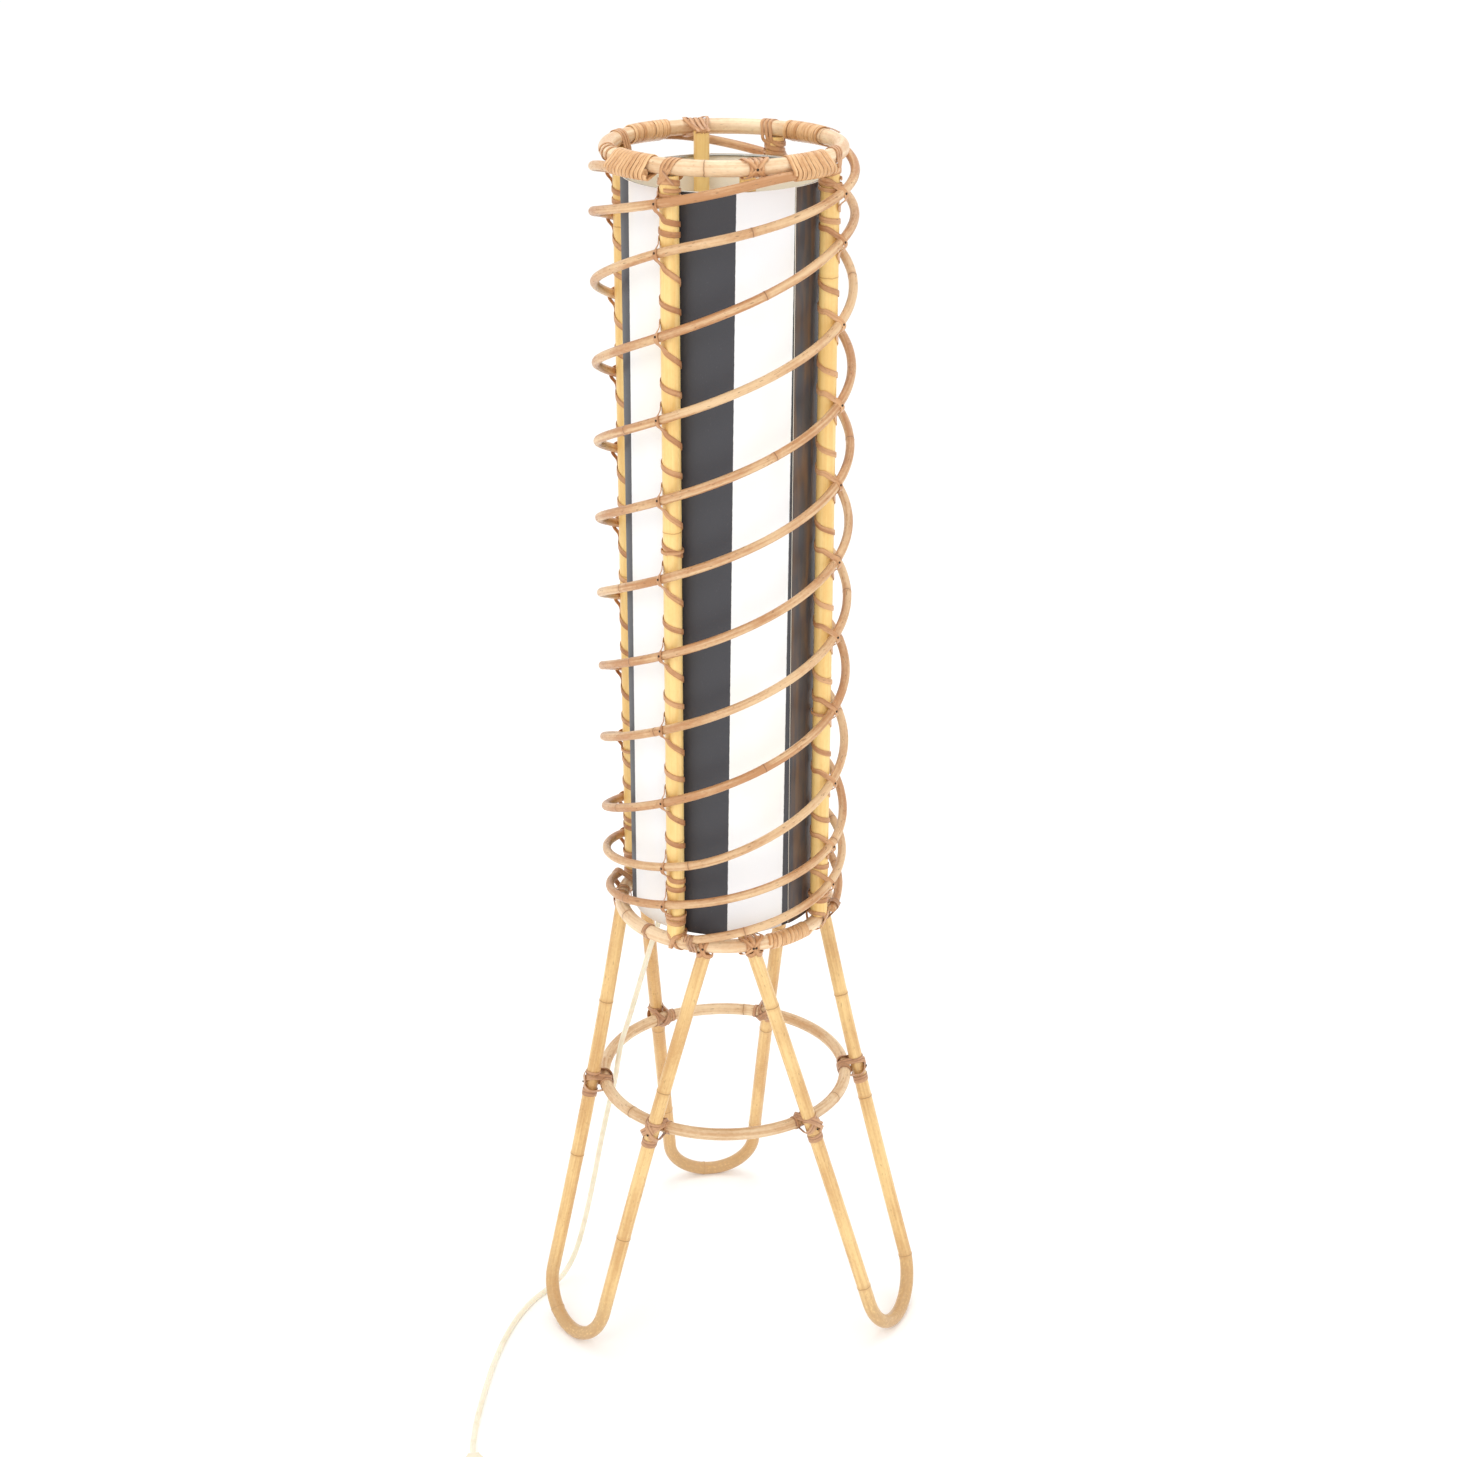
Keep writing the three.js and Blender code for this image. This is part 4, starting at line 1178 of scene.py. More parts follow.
@dataclass
class Lead:
    """The mains lead with its strain relief, switch, coil, tie and plug.

    Attributes:
        bench: where it is made.
        diameter: the sheath's diameter.
        coil_x: the coil's middle from the lamp's axis.
        coil_y: the same, front to back.
        coil_mean: the middle radius of the coil's turns.
        switch_x: the switch's middle from the lamp's axis.
        switch_y: the same, front to back.
        switch_heading: the way the lead runs through the switch, from +X.
        switch_length: the switch's length.
        switch_width: its width.
        split: the height at which its halves meet.
        switch_high: its overall height.
        plug_x: the plug's back from the lamp's axis.
        plug_y: the same, front to back.
        plug_heading: the way the plug points.
        plug_z: the height of the plug's middle.
    """

    bench: Bench
    diameter: float = 0.0056
    coil_x: float = -0.196
    coil_y: float = -0.424
    coil_mean: float = 0.031
    switch_x: float = -0.240
    switch_y: float = -0.352
    switch_heading: float = -81.0
    switch_length: float = 0.062
    switch_width: float = 0.025
    split: float = 0.008
    switch_high: float = 0.0173
    plug_x: float = -0.150
    plug_y: float = -0.4565
    plug_heading: float = 20.0
    plug_z: float = 0.007

    def free_run(self) -> list[Vector]:
        """Lists the places of the stretch from the cord grip to the switch.

        Returns:
            The places, down through the cage, under the stretcher and out over the floor.
        """
        low = self.diameter / 2 + 0.0004
        places = [
            (0, 0, 0.6264), (-0.0005, 0.0002, 0.612), (-0.004, 0.0012, 0.592), (-0.012, 0.003, 0.567),
            (-0.024, 0.005, 0.541), (-0.037, 0.0075, 0.516), (-0.051, 0.010, 0.487), (-0.064, 0.012, 0.452),
            (-0.077, 0.014, 0.410), (-0.089, 0.016, 0.366), (-0.102, 0.018, 0.318), (-0.1112, 0.019, 0.286),
            (-0.1151, 0.0193, 0.264), (-0.119, 0.020, 0.240), (-0.127, 0.020, 0.204), (-0.136, 0.018, 0.160),
            (-0.145, 0.014, 0.112), (-0.155, 0.007, 0.066), (-0.165, -0.002, 0.032), (-0.177, -0.014, 0.012),
            (-0.192, -0.030, 0.004), (-0.208, -0.052, low), (-0.222, -0.082, low), (-0.233, -0.120, low),
            (-0.241, -0.165, low), (-0.246, -0.212, low), (-0.249, -0.256, low), (-0.249, -0.292, low),
        ]
        return [self.bench.from_axis(*p) for p in places]

    def heading(self, degrees: float) -> Vector:
        """Returns the level direction at an angle from +X."""
        return Vector((math.cos(math.radians(degrees)), math.sin(math.radians(degrees)), 0.0))

    def switch_place(self) -> Matrix:
        """Returns the switch's own axes: +X along the lead, +Z up, origin under its middle."""
        middle = self.bench.from_axis(self.switch_x, self.switch_y, 0.0)
        return Matrix.Translation(middle) @ Matrix.Rotation(math.radians(self.switch_heading), 4, "Z")

    def plug_place(self) -> Matrix:
        """Returns the plug's own axes: +X towards its pins, origin at its back."""
        back = self.bench.from_axis(self.plug_x, self.plug_y, self.plug_z)
        return Matrix.Translation(back) @ Matrix.Rotation(math.radians(self.plug_heading), 4, "Z")

    def coil_places(self) -> list[Vector]:
        """Winds the coil: two turns side by side on the floor and two on top of them.

        Returns:
            The coil's places, from where the lead comes in to where it leaves.
        """
        d = self.diameter
        inner, outer = self.coil_mean - d / 2, self.coil_mean + d / 2
        low, high = d / 2 + 0.0002, d * 1.5 + 0.0003
        clear = d + 0.0006
        first, last, step, shift = 180, 1710, 15, 110.0
        places = []
        for turn in range(first, last + 1, step):
            lap, spot = divmod(turn - first, 360)
            swing = min(1.0, spot / shift) * math.pi / 2
            if lap == 0:
                radius, z = outer + clear * math.cos(swing), low
            elif lap == 1:
                radius, z = inner + d * math.cos(swing), low
            elif lap == 2:
                radius, z = inner, low + (high - low) * math.sin(swing)
            elif lap == 3:
                radius, z = inner + d * math.sqrt(max(0.0, 1 - (1 - math.sin(swing)) ** 2)), high
            else:
                out = smoothstep(spot, 0.0, 90.0)
                radius, z = outer + (clear + 0.0004) * out, high - (high - low) * 0.3 * smoothstep(spot, 55.0, 90.0)
            spoke = self.heading(turn % 360) * radius
            places.append(self.bench.from_axis(self.coil_x, self.coil_y, z) + spoke)
        return places

    def route(self) -> list[Vector]:
        """Joins the lead's stretches.

        Returns:
            The whole lead's places, from the cord grip to the plug.
        """
        run = self.heading(self.switch_heading)
        middle = self.bench.from_axis(self.switch_x, self.switch_y, self.split)
        reach = self.switch_length / 2
        through = [middle + run * x for x in (-reach - 0.014, -reach, -reach / 3, reach / 3, reach)]
        through[0].z -= 0.0015
        to_coil = ((-0.2343, -0.388, 0.0079), (-0.2343, -0.397, 0.006), (-0.2353, -0.409, 0.0038))
        to_plug = ((-0.181, -0.4636, 0.0042), (-0.167, -0.4618, 0.0052), (-0.156, -0.4587, 0.0066))
        link, tail = ([self.bench.from_axis(*place) for place in stretch] for stretch in (to_coil, to_plug))
        end = self.plug_place() @ Vector((0.002, 0.0, 0.0))
        return [*self.free_run(), *through, *link, *self.coil_places(), *tail, end]

    def build(self) -> None:
        places = self.route()
        up = [UP] * len(places)
        line = eased(places, up, fine=8).points
        curve = bpy.data.curves.new("mains_lead", "CURVE")
        curve.dimensions = "3D"
        spline = curve.splines.new("POLY")
        spline.points.add(len(line) - 1)
        for point, place in zip(spline.points, line):
            point.co = (*place, 1.0)
        curve.bevel_depth = self.diameter / 2
        curve.bevel_resolution = 5
        curve.use_fill_caps = True
        curve.materials.append(self.bench.finish["sheath"])
        lead = bpy.data.objects.new("mains_lead", curve)
        bpy.context.scene.collection.objects.link(lead)
        self.bench.fix(lead, Slot.CORD, "cord_lead", "cord_link", "cord_tail", "cord_coil")
        on_lead = [*self.switch(), *self.plug(), self.tie(), self.grip()]

    def grip(self) -> Piece:
        """Turns the tapered strain relief with its rings.

        Returns:
            The fixed piece.
        """
        low, high = (c.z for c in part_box("cord_grip"))
        bore = self.diameter / 2 + 0.00015
        profile = [(bore, low), (0.0041, low), (0.0044, low + 0.0008)]
        rings = 5
        for i in range(rings):
            z = low + 0.0016 + i * 0.0026
            radius = 0.0044 + 0.0016 * (i + 1) / rings
            groove = radius - 0.0008
            profile += [(radius, z), (radius, z + 0.0013), (groove, z + 0.0016), (groove, z + 0.0023)]
        profile += [(0.0062, high - 0.008), (0.0062, high), (bore, high)]
        piece = self.bench.turned("lead_grip", profile, "ivory", 40, 0.0002)
        return self.bench.fix(piece, Slot.HOLDER, "cord_grip")

    def shell_outline(self, inset: float) -> list[tuple[float, float]]:
        """Draws the switch's outline: a long rounded body with necks at both ends.

        Args:
            inset: how far inside the switch's own outline it runs.

        Returns:
            The outline's corners.
        """
        half, wide, neck = self.switch_length / 2 - inset, self.switch_width / 2 - inset, 0.0052 - inset
        quarter = []
        steps = 7
        for k in range(steps + 1):
            t = k / steps
            x = half - 0.018 * t
            quarter.append((x, neck + (wide - neck) * math.sin(t * math.pi / 2) ** 1.2))
        top = quarter + [(-x, y) for x, y in reversed(quarter)]
        return top + [(-x, -y) for x, y in top]

    def switch(self) -> list[Piece]:
        """Makes the switch's two halves with the seam between them, its rocker and its screws.

        Returns:
            The fixed pieces.
        """
        bench, place = self.bench, self.switch_place()
        whole, split, sharp = self.shell_outline(0.0), self.split, 0.0001
        base = bench.prism("switch_lower_half", whole, 0.0, split - 0.0002, place, "ivory", 0.0014)
        x, y = 0.0098, 0.0052
        mouth = [(-x, -y), (x, -y), (x, y), (-x, y)]
        well = bench.prism("well", mouth, 0.0115, 0.03, place, "ivory", sharp)
        cover = bench.prism(
            "switch_upper_half", whole, split + 0.0002, self.switch_high, place, "ivory", 0.0017, [well]
        )
        inner = self.shell_outline(0.0007)
        seam = bench.prism("switch_seam", inner, split - 0.001, split + 0.001, place, "ivory", sharp)
        bench.fix(base, Slot.SWITCH, "switch_base")
        bench.fix(cover, Slot.SWITCH, "switch_cover")
        bench.fix(seam, Slot.SWITCH)
        rocker = self.rocker(place)
        screws = self.screws(place)
        return [base, cover, seam, rocker, screws]

    def rocker(self, place: Matrix) -> Piece:
        """Makes the tilted rocker with its dished top.

        Args:
            place: the switch's own axes.

        Returns:
            The fixed piece.
        """
        half, wide, tilt = 0.0083, 0.0044, math.radians(7)
        lift = Matrix.Translation((0.0, 0.0, self.switch_high - 0.0004))
        turn = place @ lift @ Matrix.Rotation(tilt, 4, "Y")
        top = [(-half + 2 * half * k / 12, 0.0022 - 0.0011 * math.cos(math.pi * (k / 6 - 1))) for k in range(13)]
        outline = [*top, (half * 0.55, -0.0035), (-half * 0.55, -0.0035)]
        upright = turn @ Matrix.Rotation(math.radians(90), 4, "X")
        piece = self.bench.prism("switch_rocker_cap", outline, -wide, wide, upright, "brown", 0.0004)
        return self.bench.fix(piece, Slot.ROCKER, "switch_rocker", body=Body.ROCKER)

    def screws(self, place: Matrix) -> Piece:
        """Makes the two screws in the switch's cover.

        Args:
            place: the switch's own axes.

        Returns:
            The fixed piece.
        """
        chains = [Chain([place @ Vector((x, 0.0, self.switch_high))], [UP]) for x in (-0.0205, 0.0205)]
        piece = self.bench.grown("switch_screws", chains, self.bench.nail, "steel", Head_Radius=0.0021, Dome=0.22)
        return self.bench.fix(piece, Slot.STEEL)

    def tie(self) -> Piece:
        """Makes the tie that holds the coil's turns together.

        Returns:
            The fixed piece.
        """
        d = self.diameter
        places, sides = [], []
        spoke = self.heading(40.0)
        reach = d + 0.0006
        middle = self.bench.from_axis(self.coil_x, self.coil_y, 0.0) + spoke * self.coil_mean + UP * reach
        for k in range(24):
            turn = 2 * math.pi * k / 24
            c, s = math.cos(turn), math.sin(turn)
            out = math.copysign(min(reach, abs(c) * reach * 1.35), c)
            rise = math.copysign(min(reach - 0.0004, abs(s) * reach * 1.3), s)
            places.append(middle + spoke * out + UP * rise)
            sides.append((spoke * c + UP * s).normalized())
        chain = eased(places, sides, closed=True, fine=3)
        piece = self.bench.strips("coil_tie", [chain], "brown", 0.0045, 0.0006)
        return self.bench.fix(piece, Slot.ROCKER)

    def plug(self) -> list[Piece]:
        """Makes the plug's body with its grip ribs, and its two pins with their sleeves.

        Returns:
            The fixed pieces.
        """
        bench, place = self.bench, self.plug_place()
        length, neck, wide = 0.036, 0.0046, 0.0118
        side = []
        steps = 9
        for k in range(steps + 1):
            t = k / steps
            side.append((length * t, neck + (wide - neck) * smoothstep(t, 0.08, 0.62)))
        outline = side + [(x, -y) for x, y in reversed(side)]
        body = bench.prism("plug_shell", outline, -0.0069, 0.0066, place, "ivory", 0.0028)
        ribs = []
        for k in range(4):
            x = 0.0125 + 0.0033 * k
            y = neck + (wide - neck) * smoothstep(x / length, 0.08, 0.62)
            for sign in (-1, 1):
                places = [place @ Vector((x, sign * (y + 0.0001), z)) for z in (-0.004, 0.0, 0.004)]
                ribs.append(Chain(places, [place.to_3x3() @ Vector((0, sign, 0))] * 3, girth=0.0006))
        ribs = bench.canes("plug_ribs", ribs, "ivory", 0.001, Sides=8, Unevenness=0.0)
        pins, sleeves = [], []
        for sign in (-1, 1):
            points = [place @ Vector((length + x, sign * 0.0095, 0.0)) for x in (-0.001, 0.0185)]
            pins.append(Chain(points, [UP] * 2, girth=0.002))
            collar = [place @ Vector((length + x, sign * 0.0095, 0.0)) for x in (-0.001, 0.0095)]
            sleeves.append(Chain(collar, [UP] * 2, girth=0.0022))
        made = [bench.fix(body, Slot.SWITCH, "plug_body"), bench.fix(ribs, Slot.SWITCH)]
        for name, pin in zip(("left", "right"), reversed(pins)):
            piece = bench.canes(f"plug_contact_{name}", [pin], "pin", 0.002, Sides=20, Unevenness=0.0)
            made.append(bench.fix(piece, Slot.BRASS, f"plug_pin_{name}"))
        sleeves = bench.canes("plug_sleeves", sleeves, "sleeve", 0.002, Sides=20, Unevenness=0.0)
        made.append(bench.fix(sleeves, Slot.SWITCH))
        return made


# ---- Canes ---------------------------------------------------------------------------------------------


@dataclass(frozen=True)
class Sizes:
    """The lamp's driving sizes, which every sub-assembly shares.

    Attributes:
        height: floor to the top of the upper hoop.
        top_ring: the upper hoop's centreline radius.
        bottom_ring: the lower hoop's centreline radius.
        bottom_z: the lower hoop's height.
        stretcher_ring: the stretcher hoop's centreline radius.
        stretcher_z: the stretcher hoop's height.
        top_cane: the upper hoop's cane radius.
        bottom_cane: the lower hoop's cane radius.
        stretcher_cane: the stretcher's cane radius.
        leg_cane: the legs' cane radius.
        post_cane: the outer poles' radius.
        stay_cane: the inner poles' radius.
        rod_cane: the spiral rods' radius.
        post_at: the lamp's axis to each outer pole's axis.
        stay_at: the lamp's axis to each inner pole's axis.
        post_azimuth: the first outer pole's azimuth.
        stay_azimuth: the front inner pole's azimuth.
        shade_radius: the shade's outer radius.
        gap: the clearance between pieces that touch.
    """

    height: float = 1.25
    top_ring: float = 0.1076
    bottom_ring: float = 0.1062
    bottom_z: float = 0.472
    stretcher_ring: float = 0.1285
    stretcher_z: float = 0.266
    top_cane: float = 0.0073
    bottom_cane: float = 0.007
    stretcher_cane: float = 0.0062
    leg_cane: float = 0.0072
    post_cane: float = 0.0089
    stay_cane: float = 0.0075
    rod_cane: float = 0.0043
    post_at: float = 0.1073
    stay_at: float = 0.0837
    post_azimuth: float = -26.0
    stay_azimuth: float = 15.5
    shade_radius: float = 0.0957
    gap: float = 0.0003

    @property
    def top_z(self) -> float:
        """The upper hoop's centreline height."""
        return self.height - self.top_cane


SIZES = Sizes()
SIDES = ("front_left", "front_right", "rear_right", "rear_left")


@dataclass
class Rods:
    """The four spiral rods.

    Attributes:
        bench: where they are made.
        turn: how far each rod turns, in degrees.
        before_post: degrees from a rod's lower end to its first pole.
        ends: metres climbed per degree low down, high up and at the very end.
        bounds: degrees at which the middle, the upper and the last slope start.
        ease: degrees over which the slope changes.
    """

    bench: Bench
    turn: float = 1065.0
    before_post: float = 84.0
    ends: tuple[float, float, float] = (0.000463, 0.000463, 0.00001)
    bounds: tuple[float, float, float] = (190.0, 895.0, 1034.0)
    ease: float = 6.0

    def climb(self, turn: float, middle: float) -> float:
        """Adds up the climb along a rod, with each change of slope eased.

        Args:
            turn: the turn from the rod's lower end.
            middle: the slope between its two ends.

        Returns:
            The climb.
        """
        low, high, last = self.ends
        total, before = low * turn, low
        for slope, start in zip((middle, high, last), self.bounds):
            past = (turn - start) / self.ease
            soft = self.ease * math.log1p(math.exp(past)) if past < 40 else turn - start
            total += (slope - before) * soft
            before = slope
        return total

    @cached_property
    def middle_slope(self) -> float:
        """The middle slope that brings the rods up to the upper hoop."""
        rise = SIZES.top_z - SIZES.top_cane + 0.0008 - self.foot
        flat = self.climb(self.turn, 0.0)
        return (rise - flat) / (self.climb(self.turn, 1.0) - flat)

    @property
    def foot(self) -> float:
        """The height of a rod's lower end."""
        return SIZES.bottom_z + SIZES.bottom_cane + 0.0014

    def height(self, turn: float) -> float:
        """Returns a rod's height after a turn."""
        return self.foot + self.climb(turn, self.middle_slope)

    def radius(self, turn: float) -> float:
        """Works out a rod's distance from the lamp's axis.

        Args:
            turn: the turn from the rod's lower end.

        Returns:
            The distance.
        """
        at_post = SIZES.post_at + SIZES.post_cane + SIZES.gap + SIZES.rod_cane
        low_end = SIZES.bottom_ring + SIZES.bottom_cane + SIZES.rod_cane - 0.0002
        high_end = SIZES.top_ring + SIZES.top_cane + SIZES.rod_cane - 0.0006
        low = smoothstep(turn, 0.0, self.before_post - 14)
        high = smoothstep(self.turn - turn, 25.0, 70.0)
        return min(low_end + (at_post - low_end) * low, high_end + (at_post - high_end) * high)

    def start(self, index: int) -> float:
        """Returns the azimuth of a rod's lower end."""
        return SIZES.post_azimuth - self.before_post + 90 * index

    def tops(self) -> list[float]:
        """Returns the heights at which rods cross each pole, from the top down."""
        return [self.height(self.before_post + 90 * k) for k in range(10, -1, -1)]

    def build(self) -> None:
        """Makes the rods, with their growth rings."""
        chance = random.Random(11)
        tones = (0.1, -0.25, 0.3, -0.1)
        for index in range(4):
            turns = [self.turn * k / 720 for k in range(721)]
            azimuths = [self.start(index) + t for t in turns]
            points = [self.bench.on(self.radius(t), a, self.height(t)) for t, a in zip(turns, azimuths)]
            rings, reach = [], chance.uniform(0.05, 0.2)
            while reach < 2.25:
                rings.append(reach)
                reach += chance.uniform(0.17, 0.33)
            sides = [outward(a) for a in azimuths]
            chain = Chain(points, sides, SIZES.rod_cane, rings, tone=tones[index])
            looks = {"Sides": 14, "Ring_Swell": 0.045, "Unevenness": 0.06, "Seed": index}
            piece = self.bench.canes(f"rod_{index + 1}", [chain], "rod", 0.0038, **looks)
            self.bench.fix(piece, Slot.ROD, f"spiral_rod_{index + 1}")


@dataclass
class Cage:
    """The two hoops, the four outer poles and the two inner poles.

    Attributes:
        bench: where they are made.
    """

    bench: Bench

    def hoop(
        self,
        name: str,
        node: str,
        radius: float,
        cane: float,
        z: float,
        start: float,
        rings: Sequence[float],
        look: str,
        tone: float,
    ) -> None:
        """Bends a hoop from one cane.

        Args:
            name: the piece's name.
            node: the frame's node that it stands for.
            radius: its centreline radius.
            cane: its cane radius.
            z: its height.
            start: the azimuth of its hidden joint.
            rings: azimuths of its growth rings.
            look: its finish.
            tone: a shift of its colour.
        """
        steps = 180
        azimuths = [start + 360 * k / steps for k in range(steps)]
        points = [self.bench.on(radius, a, z) for a in azimuths]
        marks = sorted(math.radians((a - start) % 360) * radius for a in rings)
        chain = Chain(points, [outward(a) for a in azimuths], cane, marks, closed=True, tone=tone)
        piece = self.bench.canes(name, [chain], look, 0.003, Sides=28, Ring_Swell=0.035, Unevenness=0.035)
        self.bench.fix(piece, Slot.HOOP, node)

    def pole(
        self,
        name: str,
        node: str,
        radius: float,
        azimuth: float,
        cane: float,
        low: float,
        high: float,
        rings: Sequence[float],
        tone: float,
    ) -> None:
        """Stands a straight pole.

        Args:
            name: the piece's name.
            node: the frame's node that it stands for.
            radius: the lamp's axis to its own axis.
            azimuth: its azimuth.
            cane: its radius.
            low: the height of its foot.
            high: the height of its top.
            rings: heights of its growth rings.
            tone: a shift of its colour.
        """
        ends = [self.bench.on(radius, azimuth, z) for z in (low, high)]
        chain = Chain(ends, [outward(azimuth)] * 2, cane, [z - low for z in rings], tone=tone)
        piece = self.bench.canes(name, [chain], "pole", 0.006, Sides=26, Ring_Swell=0.022, Unevenness=0.018)
        self.bench.fix(piece, Slot.POLE, node)

    def build(self) -> None:
        """Makes the hoops and the poles."""
        s = SIZES
        top = (s.top_ring, s.top_cane, s.top_z)
        bottom = (s.bottom_ring, s.bottom_cane, s.bottom_z)
        stretcher = (s.stretcher_ring, s.stretcher_cane, s.stretcher_z)
        self.hoop("upper_hoop", "top_ring", *top, -46.0, (-8, 118, 232), "hoop", 0.1)
        self.hoop("lower_hoop", "bottom_ring", *bottom, 38.0, (-66, 84, 190), "hoop", -0.15)
        self.hoop("stretcher_hoop", "stretcher_ring", *stretcher, -95.0, (-47, 64, 171), "stretcher", 0.0)
        low = s.bottom_z + s.bottom_cane + s.gap
        high = s.top_z - s.top_cane - s.gap
        rings = ((0.586, 0.905), (0.74, 1.134), (0.66, 1.02), (0.81, 1.16))
        tones = (0.0, 0.1, -0.1, 0.2)
        for index, name in enumerate(SIDES):
            azimuth = s.post_azimuth + 90 * index
            sizes = (s.post_at, azimuth, s.post_cane, low, high, rings[index], tones[index])
            self.pole(f"pole_{name}", f"post_{name}", *sizes)
        for name, azimuth in (("front", s.stay_azimuth), ("rear", s.stay_azimuth + 180)):
            foot, head = s.bottom_z - s.bottom_cane, s.height - s.top_cane
            sizes = (s.stay_at, azimuth, s.stay_cane, foot, head, (0.7, 1.05), -0.1)
            self.pole(f"inner_pole_{name}", f"stay_{name}", *sizes)


@dataclass
class Strand:
    """One side of a hairpin leg.

    Attributes:
        name: the leg's name and side.
        high: its upper end.
        low: where its bend starts.
    """

    name: str
    high: Vector
    low: Vector

    def at_height(self, z: float) -> Vector:
        """Returns the straight strand's place at a height."""
        return self.high.lerp(self.low, (self.high.z - z) / (self.high.z - self.low.z))


@dataclass(frozen=True)
class Hairpin:
    """A leg's own sizes.

    Attributes:
        name: which leg it is.
        tops: azimuths of both upper ends.
        foot: the foot's azimuth.
        foot_radius: the lamp's axis to the foot.
        bend: the bend's radius.
        tone: a shift of its colour; the rear leg's larger shift darkens it as painted shade.
    """

    name: str
    tops: tuple[float, float]
    foot: float
    foot_radius: float
    bend: float
    tone: float


@dataclass
class Legs:
    """The three hairpin legs, bound to the outside of the stretcher hoop.

    Attributes:
        bench: where they are made.
        pins: each leg's sizes.
        tilt: a strand's lean from the vertical.
        worn: the depth worn off each foot.
        strands: the strands, once the legs are made.
    """

    bench: Bench
    pins: tuple[Hairpin, ...] = (
        Hairpin("left", (-92.5, -10.1), -57.4, 0.1943, 0.0477, 0.15),
        Hairpin("right", (16.9, 112.2), 67.8, 0.2026, 0.05, -0.05),
        # The rear leg's tone of 0.5 darkens it as painted shade, for the leg that stands behind.
        Hairpin("rear", (142.0, 234.5), 185.6, 0.2044, 0.0494, 0.5),
    )
    tilt: float = 15.0
    worn: float = 0.0008
    strands: list[Strand] = field(default_factory=list)

    @property
    def strand_at(self) -> float:
        """The lamp's axis to a strand's middle at the stretcher."""
        between = SIZES.leg_cane + SIZES.stretcher_cane + 2 * SIZES.gap
        return SIZES.stretcher_ring + between / math.cos(math.radians(self.tilt))

    def shape(self, pin: Hairpin) -> tuple[Vector, Vector, list[Vector], Vector]:
        """Works out a hairpin: two straight strands that run into a round bend.

        Args:
            pin: the leg's sizes.

        Returns:
            Both upper ends, the bend's places and the normal of the hairpin's plane, from the lamp's axis.
        """
        s = SIZES
        top = s.bottom_z - s.bottom_cane - 2 * s.gap - s.leg_cane * math.sin(math.radians(self.tilt))
        a, b = (outward(t) * s.bottom_ring + UP * top for t in pin.tops)
        foot = outward(pin.foot) * pin.foot_radius + UP * (s.leg_cane - self.worn)
        middle = (a + b) / 2
        across = (b - a).normalized()
        down = foot - middle
        sideways = down.dot(across)
        down -= across * sideways
        depth = down.length - pin.bend
        down.normalize()
        half = (b - a).length / 2

        def touching(end: float, side: int) -> float:
            """Returns the turn at which the strand from one upper end meets the bend."""
            x, y = sideways - end, depth
            return math.atan2(y, x) + side * (math.asin(pin.bend / math.hypot(x, y)) + math.pi / 2)

        first, last = touching(-half, 1), touching(half, -1)
        steps = 44
        turns = [first + (last - first) * k / steps for k in range(steps + 1)]
        bend = [
            middle + across * (sideways + pin.bend * math.cos(t)) + down * (depth + pin.bend * math.sin(t))
            for t in turns
        ]
        return a, b, bend, across.cross(down)

    def bowed(self, strand: Strand) -> list[Vector]:
        """Bows a strand so that it meets the outside of the stretcher.

        Args:
            strand: the straight strand.

        Returns:
            Its places, from its top down.
        """
        meeting = strand.at_height(SIZES.stretcher_z)
        level = Vector((meeting.x, meeting.y, 0.0))
        pull = self.strand_at - level.length
        share = (strand.high.z - SIZES.stretcher_z) / (strand.high.z - strand.low.z)
        power = math.log(0.5) / math.log(share)
        level.normalize()
        steps = 48
        return [
            strand.high.lerp(strand.low, k / steps) + level * (pull * math.sin(math.pi * (k / steps) ** power))
            for k in range(steps)
        ]

    def build(self) -> None:
        """Makes the legs, worn flat underneath."""
        chance = random.Random(5)
        for pin in self.pins:
            a, b, bend, normal = self.shape(pin)
            pair = [Strand(f"{pin.name}_a", a, bend[0]), Strand(f"{pin.name}_b", b, bend[-1])]
            self.strands += pair
            places = [*self.bowed(pair[0]), *bend, *reversed(self.bowed(pair[1]))]
            points = [self.bench.axis + p for p in places]
            rings, reach = [], chance.uniform(0.06, 0.14)
            while reach < 1.0:
                rings.append(reach)
                reach += chance.uniform(0.11, 0.2)
            chain = Chain(points, [normal] * len(points), SIZES.leg_cane, rings, tone=pin.tone)
            looks = {"Sides": 24, "Ring_Swell": 0.06, "Unevenness": 0.04}
            piece = self.bench.canes(f"hairpin_{pin.name}", [chain], "leg", 0.0032, **looks)
            for vertex in piece.data.vertices:
                vertex.co.z = max(vertex.co.z, 0.0)
            self.bench.fix(piece, Slot.LEG, f"leg_{pin.name}")


# ---- Bindings ------------------------------------------------------------------------------------------


def taut(canes: Canes, slack: float, count: int = 36) -> list[tuple[Vector, Vector]]:
    """Works out the line that a taut strip takes round canes seen end on.

    Args:
        canes: the canes seen end on.
        slack: how far the strip's middle stands off them.
        count: how many places the line has.

    Returns:
        The line's places and outward directions, in the plane across the canes.
    """
    line = []
    for k in range(count):
        turn = 2 * math.pi * k / count
        way = Vector((math.cos(turn), math.sin(turn)))
        x, y, radius = max(canes, key=lambda c: c[0] * way.x + c[1] * way.y + c[2])
        line.append((Vector((x, y)) + way * (radius + slack), way))
    return line


# Where a lashing crosses over a rod: degrees round the pole, share of the way out over the rod, rise in mm.
CROSSING = (
    (-75, 0.0, 12.0), (-55, 0.03, 10.2), (-40, 0.12, 8.2), (-30, 0.36, 6.6), (-22, 0.72, 4.8), (-17, 0.98, 1.6),
    (-14, 1.0, -1.5), (-12, 0.8, -4.8), (-11, 0.4, -7.6), (-8, 0.1, -10.6),
)
